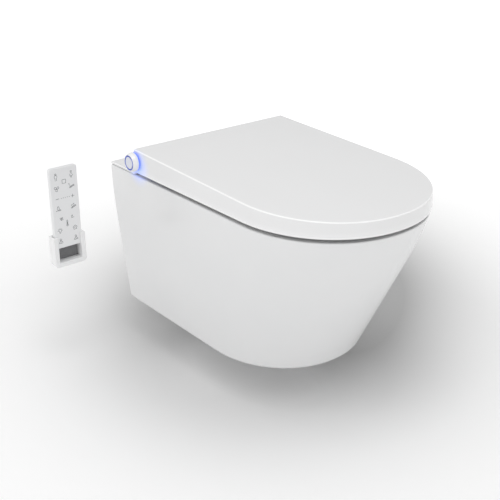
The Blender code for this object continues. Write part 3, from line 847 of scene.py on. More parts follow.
@dataclass(frozen=True)
class LightGuide(Finish):
    """Diffusing plastic ring lit from behind: brighter over each lamp, dimmer between."""

    colour: Colour = (0.05, 0.08, 0.34)
    light: Colour = (0.06, 0.12, 0.60)
    strength: float = 0.30
    lamps: int = 8

    def write(self, shade: Shade) -> None:
        """Light that swells over each lamp round the hinge axis.

        Args:
            shade: the finish's tree.
        """
        _, y, z = shade.axes()
        angle = shade.math("ARCTAN2", z - HINGE_Z, y - HINGE_Y)
        swell = shade.math("COSINE", angle * self.lamps) * 0.5 + 0.5
        shade.set(Base_Color=shade.mix(self.colour, self.light, swell * 0.5), Roughness=0.3 + 0.05 * swell,
                  Emission_Color=shade.mix(tuple(0.75 * c for c in self.light), self.light, swell),
                  Emission_Strength=self.strength)


@dataclass(frozen=True)
class Brushed(Finish):
    """Dark pad with a fine horizontal drag and light flecks."""

    colour: Colour = (0.13, 0.13, 0.135)
    fleck: Colour = (0.27, 0.27, 0.275)

    def write(self, shade: Shade) -> None:
        """Drag lines and flecks.

        Args:
            shade: the finish's tree.
        """
        drag = shade.noise(700.0, 4.0, (0.18, 1.0, 1.0), 0.7)
        flecks = shade.noise(2400.0, 2.0).ramp(0.45, 0.75)
        shade.bump(drag, 0.00005, 0.8)
        shade.set(Base_Color=shade.mix(self.colour, self.fleck, (drag * 0.55 + flecks * 0.45).clamp()),
                  Roughness=0.5 + 0.25 * drag)


@dataclass(frozen=True)
class Ink(Finish):
    """Printed mark: thin grey ink that is slightly broken by the plastic's texture."""

    def write(self, shade: Shade) -> None:
        """Ink coverage.

        Args:
            shade: the finish's tree.
        """
        cover = shade.noise(3000.0, 2.0).ramp(0.25, 0.6)
        shade.set(Base_Color=shade.mix((0.16, 0.165, 0.175), (0.075, 0.08, 0.09), cover),
                  Roughness=0.5 + 0.2 * cover)


CERAMIC = GlazedCeramic("sanitary_glaze", "glazed_ceramic")
WHITE = Moulded("gloss_white_plastic", "gloss_white")
# copy of the white plastic with the painted blue glow, painted edge highlight and painted shade on upright
# faces
LIT_WHITE = Moulded("gloss_white_plastic_by_the_knob", "gloss_white", glow=True)
SATIN = Moulded("satin_white_plastic", "satin_white", (0.83, 0.833, 0.84), 0.40, 600.0, 0.000003, False, 0.0)
# grey-white button whose blue tint is a painted reflection of the light ring
BUTTON_WHITE = Moulded("button_painted_blue_reflection", "satin_white", (0.70, 0.72, 0.80), 0.22, 600.0, 0.000002, False, 0.4)
GREY = Moulded("grey_plastic", "grey_plastic", (0.24, 0.25, 0.26), 0.42, 1600.0, 0.00003, False, 0.0)
DARK = Moulded("dark_plastic", "dark_plastic", (0.022, 0.022, 0.025), 0.40, 1600.0, 0.00003, False, 0.0)
STEEL = Metal("stainless_steel", "steel")
COPPER = Metal("copper", "copper", (0.72, 0.36, 0.22), 0.3, (1.0, 0.06, 1.0), (0.30, 0.15, 0.10))
BOARD = Board("solder_mask", "circuit_board")
BLACK_RUBBER = Rubber("black_rubber", "black_rubber")
WHITE_RUBBER = Rubber("white_rubber", "white_rubber", (0.70, 0.70, 0.69))
LIGHT_RING = LightGuide("ring_light", "blue_light")
GLOW_RING = LightGuide("side_glow", "blue_light", (0.2, 0.3, 0.9), (0.16, 0.26, 0.95), 0.32, 6)
PAD = Brushed("dock_pad_grey", "pad_grey")
INK = Ink("key_ink", "dark_plastic")


def mount(item: bpy.types.Object, body: Body, finish: Finish, *nodes: str) -> bpy.types.Object:
    """Give a piece its finish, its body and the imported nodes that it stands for.

    Args:
        item: the piece.
        body: the body it rides on.
        finish: its finish.
        nodes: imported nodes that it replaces.

    Returns:
        The piece.
    """
    item.data.materials.clear()
    item.data.materials.append(finish.material())
    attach(item, body.value)
    if nodes:
        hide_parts(*nodes)
    log.info("%s: %d faces on %s", item.name, len(item.data.polygons), body.value)
    return item


# ------------------------------------------------------------------ ceramic pan
@dataclass
class Pan:
    """Wall-hung pan: tapering D body, rolled rim, egg bowl, trap, flush way and rear pocket."""

    bottom: float = -0.225
    rim: float = 0.080
    sides: tuple[tuple[float, ...], ...] = (       # height, half width, length, straight run
        (-0.225, 0.1551, 0.4642, 0.2960), (-0.085, 0.1716, 0.5334, 0.3502),
        (0.010, 0.1815, 0.5794, 0.3869), (0.045, 0.1838, 0.5943, 0.4005), (0.080, 0.1845, 0.6060, 0.4140))
    wall: float = 0.012
    rim_edge: float = 0.0026
    foot_edge: float = 0.0070
    rear_corner: float = 0.0012
    lip: float = 0.0075
    bowl_wall: float = 0.010
    bowl_power: float = 2.3
    bowl_rows: tuple[tuple[float, ...], ...] = (   # height, half width, half length, centre
        (-0.190, 0.034, 0.038, 0.295), (-0.160, 0.044, 0.052, 0.300), (-0.110, 0.061, 0.080, 0.317),
        (-0.060, 0.082, 0.112, 0.340), (0.000, 0.104, 0.148, 0.360), (0.050, 0.115, 0.172, 0.372),
        (0.0725, 0.118, 0.180, 0.375))
    trap: tuple[Point, ...] = (                    # distance from the wall, height, radius
        (0.290, -0.158, 0.026), (0.255, -0.155, 0.026), (0.220, -0.127, 0.027), (0.188, -0.092, 0.028),
        (0.150, -0.080, 0.030), (0.112, -0.092, 0.036), (0.080, -0.100, 0.045), (-0.002, -0.100, 0.045))
    flush_z: float = 0.035
    flush_radius: float = 0.0275
    channel_z: float = -0.010
    stud_x: float = 0.090
    recess_floor: float = 0.030
    notch_bottom: float = 0.045

    def outline(self, height: float, inward: float, rear: float) -> np.ndarray:
        """D loop of the body at a height: its sizes follow smooth curves through the rows, less the inset.

        Args:
            height: the height.
            inward: the inset.
            rear: distance of the rear edge from the wall.

        Returns:
            The closed loop.
        """
        table = np.asarray(self.sides)
        half, length, straight = spline(table[:, 0], table[:, 1:], np.array([height]))[0]
        return d_loop(half - inward, length - inward, straight, rear, self.rear_corner)

    def body(self, name: str, rows: Iterable[tuple[float, float]], rear: float = 0.0) -> bpy.types.Object:
        """Closed stack of D loops.

        Args:
            name: the object's name.
            rows: the inset and height of each loop.
            rear: distance from the wall; a body that starts at the wall is drawn in there too.

        Returns:
            The object.
        """
        rings = [lift(self.outline(z, d, rear + max(d, 0.0) * (rear == 0.0)), Axis.Z, z) for d, z in rows]
        return skin(name, np.stack(rings))

    def outer(self) -> bpy.types.Object:
        """Outside of the pan with quarter rounds at the foot and the rim.

        Returns:
            The object.
        """
        t = np.linspace(0, math.pi / 2, 6)
        foot, rim = self.foot_edge, self.rim_edge
        rows = [(foot + 0.001, self.bottom)]
        rows += [(foot * (1 - math.sin(a)), self.bottom + foot * (1 - math.cos(a))) for a in t]
        rows += [(0.0, z) for z in np.linspace(self.bottom + foot + 0.004, self.rim - rim - 0.004, 9)]
        rows += [(rim * (1 - math.sin(a)), self.rim - rim * (1 - math.cos(a))) for a in t[::-1]]
        rows += [(rim + 0.0012, self.rim)]
        return self.body("pan_body", rows)

    def bowl(self, name: str, grow: float, lip: float) -> bpy.types.Object:
        """Stack of egg loops along smooth curves through the bowl's rows, rolled outwards at the rim.

        Args:
            name: the object's name.
            grow: added to the radii, and to the depth.
            lip: radius of the roll; 0 leaves it out.

        Returns:
            The closed object.
        """
        table = np.asarray(self.bowl_rows)
        heights = np.linspace(table[0, 0], table[-1, 0], 30)
        rows = spline(table[:, 0], table, heights)
        rows[:, 1:3] += grow
        rows[0, 0] -= grow
        if lip:
            top = rows[-1]
            t = np.linspace(0, math.radians(84), 9)[1:]
            roll = np.stack([top[0] + lip * np.sin(t), top[1] + lip * (1 - np.cos(t)),
                             top[2] + lip * (1 - np.cos(t)), np.full(8, top[3])], 1)
            rows = np.concatenate([rows, roll, roll[-1:] + (0.010, 0.0, 0.0, 0.0)])
        angle = np.linspace(0, 2 * math.pi, 144, endpoint=False)
        rings = [np.column_stack([superellipse(a, b, self.bowl_power, angle) - (0.0, c), np.full(144, z)])
                 for z, a, b, c in rows]
        floor = rings[0].mean(0)
        dish = np.array([0.0, 0.0, -0.006])
        base = [floor + (rings[0] - floor) * wide + dish * (1 - k**3)
                for wide, k in ((0.001, 0.0), (0.35, 0.35), (0.7, 0.7), (0.9, 0.9))]
        return skin(name, np.stack(base + rings))

    def rod(self, x: float, z: float, radius: float, low: float, high: float) -> bpy.types.Object:
        """Round bore or boss along Y.

        Args:
            x: its place across.
            z: its height.
            radius: its radius.
            low: its front end.
            high: its rear end.

        Returns:
            The object.
        """
        return turned("rod", np.array([(low, radius), (high, radius)]), (x, z), Axis.Y, 40)

    def flush_way(self, grow: float) -> list[bpy.types.Object]:
        """Inlet from the wall, drop, and run forward to the back of the bowl.

        Args:
            grow: added to the radii.

        Returns:
            The three objects.
        """
        r = 0.018 + grow
        drop = turned("drop", np.array([(self.channel_z - r, r + 0.0015), (self.flush_z, r + 0.0015)]),
                      (0.0, -0.030), Axis.Z, 40)
        return [self.rod(0.0, self.flush_z, self.flush_radius + grow, -0.050 - grow, 0.002), drop,
                self.rod(0.0, self.channel_z, r, -0.222, -0.0305)]

    def box(self, low: Point, high: Point, radius: float = 0.004) -> bpy.types.Object:
        """Upright block with rounded vertical corners.

        Args:
            low: its lowest corner.
            high: its highest corner.
            radius: radius of the vertical edges.

        Returns:
            The object.
        """
        loop = box_loop(low[0], high[0], low[1], high[1], radius)
        return skin("box", np.stack([lift(loop, Axis.Z, low[2]), lift(loop, Axis.Z, high[2])]))

    def build(self) -> None:
        """Carve the pan out of its outside."""
        pan = self.outer()
        trap = np.asarray(self.trap)
        heights = (self.bottom - 0.002, -0.150, -0.080, -0.020, 0.022, 0.062)
        hollow = self.body("hollow", [(self.wall, z) for z in heights], self.wall)
        keep = [self.bowl("bowl_wall", self.bowl_wall, 0.0), tube("trap_wall", trap, self.bowl_wall),
                *self.flush_way(0.010),
                self.box((-0.180, -0.1912, self.recess_floor - 0.0104), (0.180, 0.010, 0.090)),
                self.box((-0.084, -0.250, self.notch_bottom - 0.010), (0.084, -0.180, 0.090)),
                *[self.rod(s * self.stud_x, 0.0, 0.024, -0.040, 0.010) for s in (-1, 1)]]
        cut(hollow, keep)
        cut(pan, [hollow])
        cut(pan, [self.bowl("basin", 0.0, self.lip), tube("trap_bore", trap), *self.flush_way(0.0)])
        cut(pan, [self.rod(-0.085, 0.052, 0.0090, -0.020, 0.005),
                  self.rod(0.110, 0.052, 0.0070, -0.020, 0.005),
                  *[self.rod(s * self.stud_x, 0.0, 0.0065, -0.045, 0.005) for s in (-1, 1)]])
        pocket = self.box((-0.165, -0.178, self.recess_floor), (0.165, -0.012, 0.090), 0.003)
        cut(pocket, [self.box((-0.036, -0.062, 0.0), (0.036, 0.0, 0.0725))])
        cut(pan, [pocket, self.box((-0.072, -0.232, self.notch_bottom), (0.072, -0.170, 0.090), 0.006)])
        pan.name = pan.data.name = "glazed_pan"
        mount(pan, Body.ROOT, CERAMIC, "ceramic_pan")


# ------------------------------------------------------------------ seat unit in the rear deck
@dataclass
class DeckUnit:
    """White unit behind the seat: thin cover, domed housing, fascia with nozzle port and air outlet."""

    rim: float = 0.0803
    cover_top: float = 0.0858
    cover_half: float = 0.1843
    shadow_gap: float = 0.0016
    housing_half: float = 0.128
    barrel: float = 0.0170
    top_front: float = 0.1225
    shell: float = 0.0024

    def cover(self) -> None:
        """Plate over the deck, notched round the housing, with two low wings reaching forward."""
        inner = self.housing_half + 0.0005
        middle = HINGE_Y + self.barrel + 0.0005

        def outline(margin: float) -> np.ndarray:
            """Notched outline, its outer sides drawn in by a margin.

            Args:
                margin: the margin.

            Returns:
                The closed loop.
            """
            edge, front = self.cover_half - margin, -0.0872 + margin
            corners = [(-edge, -0.0003), (-edge, front), (-inner, front), (-inner, middle), (inner, middle),
                       (inner, front), (edge, front), (edge, -0.0003)]
            return rounded(corners, (0.001, 0.003, 0.001, 0.001, 0.001, 0.001, 0.003, 0.001))

        level = self.rim + self.shadow_gap
        top = plate("cover", outline(0.0), Axis.Z, level, self.cover_top, 0.0002, 0.0009)
        foot = plate("foot", outline(0.004), Axis.Z, self.rim, level - 0.00005, 0.0002)
        mount(fuse("deck_cover", [top, foot]), Body.ROOT, LIT_WHITE, "rear_cover")
        for side, name in ((-1, "right"), (1, "left")):
            xs = sorted((side * inner, side * 0.172))
            wing = plate(f"deck_wing_{name}", box_loop(xs[0], xs[1], -0.180, -0.0855, 0.006), Axis.Z,
                         self.rim, self.rim + 0.0035, 0.0004, 0.0011)
            mount(wing, Body.ROOT, WHITE)

    def profile(self) -> np.ndarray:
        """Side profile from the rear foot over the barrel, down the slope and the front, as (y, z).

        Returns:
            The open line.
        """
        turn = np.radians(np.linspace(0, 88, 14))
        barrel = np.stack([HINGE_Y + self.barrel * np.cos(turn), HINGE_Z + self.barrel * np.sin(turn)], 1)
        front = rounded([(HINGE_Y, HINGE_Z + self.barrel), (-0.186, self.top_front), (-0.195, self.rim)],
                        0.0065, 8, closed=False)[1:]
        return np.concatenate([[(HINGE_Y + self.barrel, self.rim)], barrel, front])

    def housing(self) -> None:
        """Profile carried across the unit, drawn in by a quarter round at both ends, with a wall inside."""
        open_line = self.profile()
        closed = np.concatenate([open_line, [(-0.186, self.rim), (-0.100, self.rim)]])
        t = np.linspace(0, math.pi / 2, 6)
        r = 0.0035
        ends = [(r + 0.0006, 0.0)] + [(r * (1 - math.sin(a)), r * (1 - math.cos(a))) for a in t]
        rows = [(d, -self.housing_half + h) for d, h in ends]
        rows += [(d, self.housing_half - h) for d, h in ends[::-1]]
        rings = np.stack([lift(inset(closed, d), Axis.X, x) for d, x in rows])
        rings[:, [0, len(open_line) - 1, -2, -1], 2] = self.rim
        dome = skin("housing_dome", rings)
        work = bmesh.new()
        work.from_mesh(dome.data)
        under = [f for f in work.faces if f.normal.z < -0.95 and f.calc_center_median().z < self.rim + 0.0005]
        bmesh.ops.delete(work, geom=under, context="FACES")
        work.to_mesh(dome.data)
        work.free()
        wall = dome.modifiers.new("wall", "SOLIDIFY")
        wall.thickness, wall.offset, wall.use_even_offset = self.shell, -1.0, True
        mount(dome, Body.ROOT, WHITE, "upper_housing")

    def build(self) -> None:
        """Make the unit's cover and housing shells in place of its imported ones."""
        self.cover()
        self.housing()


# ------------------------------------------------------------------ lid
@dataclass
class Lid:
    """Slim lid: flat sloping top, rolled edge, deep skirt that flares a little, open rear."""

    rear: float = 0.0884
    low: float = 0.0875
    half: float = 0.185
    length: float = 0.6078
    straight: float = 0.414
    flare: float = 0.001
    top: float = 0.1342
    top_y: float = -0.050
    slope: float = 0.0326
    skirt: float = 0.003
    skin_depth: float = 0.0035
    edge: float = 0.0022
    lip: float = 0.0011

    def height(self, y: np.ndarray | float) -> np.ndarray | float:
        """Height of the top plane: it rises evenly towards the wall."""
        return self.top + self.slope * (y - self.top_y)

    def row(self, inward: float, drop: float | None = None, low: float | None = None,
            spine: float = 0.0) -> np.ndarray:
        """One D path of the shell.

        Args:
            inward: inset from the outside.
            drop: depth below the top plane.
            low: height, where it is level instead.
            spine: share of the way to the line down the middle.

        Returns:
            Points of the path.
        """
        path = d_path(self.half - inward, self.length - inward, self.straight, self.rear)
        middle = np.stack([np.zeros(len(path)), np.maximum(path[:, 1], -self.straight)], 1)
        path = path + (middle - path) * spine
        z = np.full(len(path), low) if drop is None else self.height(path[:, 1]) - drop
        return np.column_stack([path, z])

    def shell(self) -> bpy.types.Object:
        """Skin the section from the spine over the edge, down the skirt, round its lip and back inside.

        Returns:
            The object.
        """
        t = np.linspace(0, math.pi / 2, 7)
        e, lip, wall = self.edge, self.lip, self.skirt
        rows = [self.row(e + 0.0012, 0.0, spine=s) for s in (1.0, 0.75, 0.5, 0.25, 0.08, 0.0)]
        rows += [self.row(e * (1 - math.sin(a)), e * (1 - math.cos(a))) for a in t]
        rows += [self.row(0.0, e + 0.0015)]
        rows += [self.row(-self.flare * k, None, self.low + z)
                 for k, z in ((0.30, 0.012), (0.36, 0.0036), (0.45, 0.0032), (0.95, 0.0020))]
        rows += [self.row(-self.flare + lip * (1 - math.cos(a)), None, self.low + lip * (1 - math.sin(a)))
                 for a in t]
        ease = 0.0006
        rows += [self.row(-self.flare + wall - ease * (1 - math.sin(a)), None,
                          self.low + ease * (1 - math.cos(a))) for a in t[::2]]
        inner = self.skin_depth
        rows += [self.row(wall - 0.0002, inner + 0.004)]
        rows += [self.row(wall + 0.003 * (1 - math.cos(a)), inner + 0.003 * (1 - math.sin(a))) for a in t]
        rows += [self.row(wall + 0.0045, inner, spine=s) for s in (0.0, 0.3, 0.7, 1.0)]
        rings = np.stack(rows)
        item = skin("lid_panel", rings, wrap=False, caps=False)
        work = bmesh.new()
        work.from_mesh(item.data)
        open_edges = [e for e in work.edges if e.is_boundary]
        bmesh.ops.holes_fill(work, edges=open_edges, sides=0)
        bmesh.ops.remove_doubles(work, verts=work.verts, dist=WELD)
        if work.calc_volume(signed=True) < 0:
            bmesh.ops.reverse_faces(work, faces=work.faces)
        bmesh.ops.recalc_face_normals(work, faces=work.faces)
        work.to_mesh(item.data)
        work.free()
        smooth(item.data)
        return item

    def build(self) -> None:
        """Shell, hinge bosses and bumpers."""
        bosses = [ring("boss", 0.0120, 0.0054, *sorted((s * 0.1530, s * 0.1828)), 0.0008) for s in (-1, 1)]
        mount(self.shell(), Body.LID, LIT_WHITE, "lid_shell")
        mount(fuse("lid_hinge_bosses", bosses), Body.LID, WHITE)
        for name, s in (("left", 1), ("right", -1)):
            loop = box_loop(s * 0.135 - 0.005, s * 0.135 + 0.005, -0.490, -0.470, 0.003)
            pad = plate(f"lid_buffer_{name}", loop, Axis.Z, 0.1038,
                        self.height(-0.490) - self.skin_depth - 0.0003, 0.0012, 0.0002)
            mount(pad, Body.LID, WHITE_RUBBER, f"lid_bumper_{name}")


# ------------------------------------------------------------------ seat
@dataclass
class Seat:
    """Seat ring: flat landing outside, a soft fall to the opening, underside plate and hinge arms."""

    bottom: float = 0.0845
    top: float = 0.1035
    rear: float = 0.202
    half: float = 0.1785
    length: float = 0.6005
    straight: float = 0.414
    wall: float = 0.003
    hole: tuple[float, ...] = (0.106, 0.142, 0.392, 2.4)   # half width, half length, centre, power
    corner: float = 0.014
    dip: float = 0.0042

    def row(self, share: float, outer: float, inner: float, z: float) -> np.ndarray:
        """Loop between the D outline and the opening, matched by direction from the opening's centre.

        Args:
            share: 0 on the outline, 1 on the opening.
            outer: inset of the outline.
            inner: what the opening is widened by.
            z: height.

        Returns:
            The closed loop.
        """
        half, long, centre, power = self.hole
        ring_ = d_loop(self.half - outer, self.length - outer, self.straight, self.rear + outer,
                       max(self.corner - outer, 0.003))
        angle = np.arctan2(ring_[:, 1] + centre, ring_[:, 0])
        egg = superellipse(half + inner, long + inner, power, angle) - (0.0, centre)
        return np.column_stack([ring_ + (egg - ring_) * share, np.full(len(ring_), z)])

    def top_shell(self) -> bpy.types.Object:
        """Section that goes round the ring: outside, rolled edge, dished top, rolled opening, hollow.

        Returns:
            The object.
        """
        t = np.linspace(0, math.pi / 2, 7)
        r, q, low, top, wall = 0.0050, 0.0075, self.bottom, self.top, self.wall
        rows = [self.row(0, 0.0, 0.0, z) for z in (low + 0.0006, top - r - 0.001)]
        rows += [self.row(0, r * (1 - math.cos(a)), 0.0, top - r * (1 - math.sin(a))) for a in t]
        for w in (0.03, 0.12, 0.25, 0.4, 0.55, 0.7, 0.82, 0.91, 0.97):
            rows.append(self.row(w, r, q, top - self.dip * w * w * (3 - 2 * w)))
        rows += [self.row(1, 0.0, q * (1 - math.sin(a)), top - self.dip - q * (1 - math.cos(a))) for a in t]
        rows += [self.row(1, 0.0, 0.0, low + 0.0006), self.row(1, 0.0, 0.0006, low),
                 self.row(1, 0.0, wall - 0.0004, low), self.row(1, 0.0, wall, low + 0.0004)]
        roof = top - self.dip - wall
        rows += [self.row(1, wall, wall, roof), self.row(0, wall, wall, roof)]
        rows += [self.row(0, wall, wall, low + 0.0004), self.row(0, wall - 0.0004, wall, low),
                 self.row(0, 0.0006, 0, low)]
        return skin("seat_ring", np.stack(rows), loop=True, caps=False)

    def bottom_shell(self) -> bpy.types.Object:
        """Plate that closes the underside, set in a hair from the walls.

        Returns:
            The object.
        """
        gap, low = self.wall + 0.0003, self.bottom + 0.0003
        e = 0.0005
        rows = [self.row(0, gap + e, gap, low), self.row(0, gap, gap, low + e),
                self.row(0, gap, gap, low + 0.0027), self.row(1, gap, gap, low + 0.0027),
                self.row(1, gap, gap, low + e), self.row(1, gap, gap + e, low),
                self.row(0.5, gap, gap, low - 0.0001)]
        return skin("seat_underside", np.stack(rows), loop=True, caps=False)

    def heating_mat(self) -> bpy.types.Object:
        """Thin foil ring under the dished top.

        Returns:
            The object.
        """
        high = self.top - self.dip - self.wall - 0.0003
        rows = [self.row(share, self.wall, self.wall, z)
                for share, z in ((0.12, high), (0.88, high), (0.88, high - 0.001), (0.12, high - 0.001))]
        return skin("seat_heater_foil", np.stack(rows), loop=True, caps=False)

    def arm(self, side: int, name: str) -> bpy.types.Object:
        """Hinge arm: side profile with a round knuckle, given thickness along the hinge.

        Args:
            side: 1 on the left and -1 on the right.
            name: "left" or "right".

        Returns:
            The object.
        """
        turn = np.radians(np.linspace(-72, 130, 30))
        knuckle = np.stack([HINGE_Y + 0.0150 * np.cos(turn), HINGE_Z + 0.0150 * np.sin(turn)], 1)
        web = rounded([(HINGE_Y - 0.0150, HINGE_Z + 0.006), (-0.150, self.top), (-0.210, self.top - 0.0005),
                       (-0.210, 0.0890), (HINGE_Y - 0.004, 0.0890)], (0, 0.03, 0.001, 0.001, 0), 8)
        loop = np.concatenate([knuckle, web])
        xs = sorted((side * 0.1310, side * 0.1510))
        return plate(f"seat_arm_{name}", loop, Axis.X, xs[0], xs[1], 0.0010)

    def build(self) -> None:
        """Ring, underside, arms and buffers."""
        mount(self.top_shell(), Body.SEAT, WHITE, "seat_top_shell")
        mount(self.bottom_shell(), Body.SEAT, WHITE, "seat_bottom_shell")
        mount(self.heating_mat(), Body.SEAT, COPPER, "seat_heating_mat")
        for side, name in ((1, "left"), (-1, "right")):
            mount(self.arm(side, name), Body.SEAT, WHITE)
        places = {"front_left": (0.095, -0.530), "front_right": (-0.095, -0.530),
                  "rear_left": (0.150, -0.320), "rear_right": (-0.150, -0.320)}
        for name, (x, y) in places.items():
            pad = plate(f"seat_buffer_{name}", box_loop(x - 0.005, x + 0.005, y - 0.013, y + 0.013, 0.0035),
                        Axis.Z, 0.0803, self.bottom, 0.0013, 0.0002)
            mount(pad, Body.SEAT, WHITE_RUBBER, f"seat_bumper_{name}")


# ------------------------------------------------------------------ hinge line and knob
@dataclass
class SideKnob:
    """Turning dial with a lit ring and a push button, over a lit base at the side of the lid."""

    plane: float = -0.1865
    radius: float = 0.0185

    def build(self) -> None:
        """Base, glow ring, dial, light ring and button, each a turned profile."""
        s = self.plane - 0.0027
        face = self.plane - 0.0021
        mount(ring("dial_base", 0.0127, 0.0053, face, self.plane), Body.ROOT, WHITE, "knob_base")
        mount(ring("side_glow_ring", 0.0178, 0.0130, face, self.plane, 0.0004), Body.ROOT, GLOW_RING,
              "knob_glow_ring")
        corners = [(-0.1113, 0.0001), (-0.1113, 0.0022), (s, 0.0022), (s, self.radius),
                   (s - 0.0048, self.radius), (s - 0.0113, 0.0157), (s - 0.0113, 0.0147),
                   (s - 0.0096, 0.0147), (s - 0.0096, 0.0121), (s - 0.0050, 0.0121), (s - 0.0050, 0.0001)]
        radii = (0, 0.0004, 0.0004, 0.0009, 0.0050, 0.0006, 0.0002, 0.0001, 0.0001, 0.0003, 0)
        shell = rounded(corners, radii, 8, closed=False)
        mount(turned("side_dial", shell), Body.KNOB, WHITE, "knob_dial")
        corners = [(s - 0.0099, 0.0124), (s - 0.0099, 0.0144), (s - 0.0114, 0.0144), (s - 0.0114, 0.0124)]
        light = rounded(corners, (0.0002, 0.0002, 0.0008, 0.0008), 5)
        mount(turned("dial_light_ring", light, loop=True), Body.KNOB, LIGHT_RING, "knob_light_ring")
        corners = [(s - 0.0070, 0.0001), (s - 0.0070, 0.0117), (s - 0.0117, 0.0117), (s - 0.0109, 0.0001)]
        button = rounded(corners, (0, 0.0003, 0.0010, 0), 6, closed=False)
        mount(turned("dial_button", button), Body.BUTTON, BUTTON_WHITE, "knob_button")


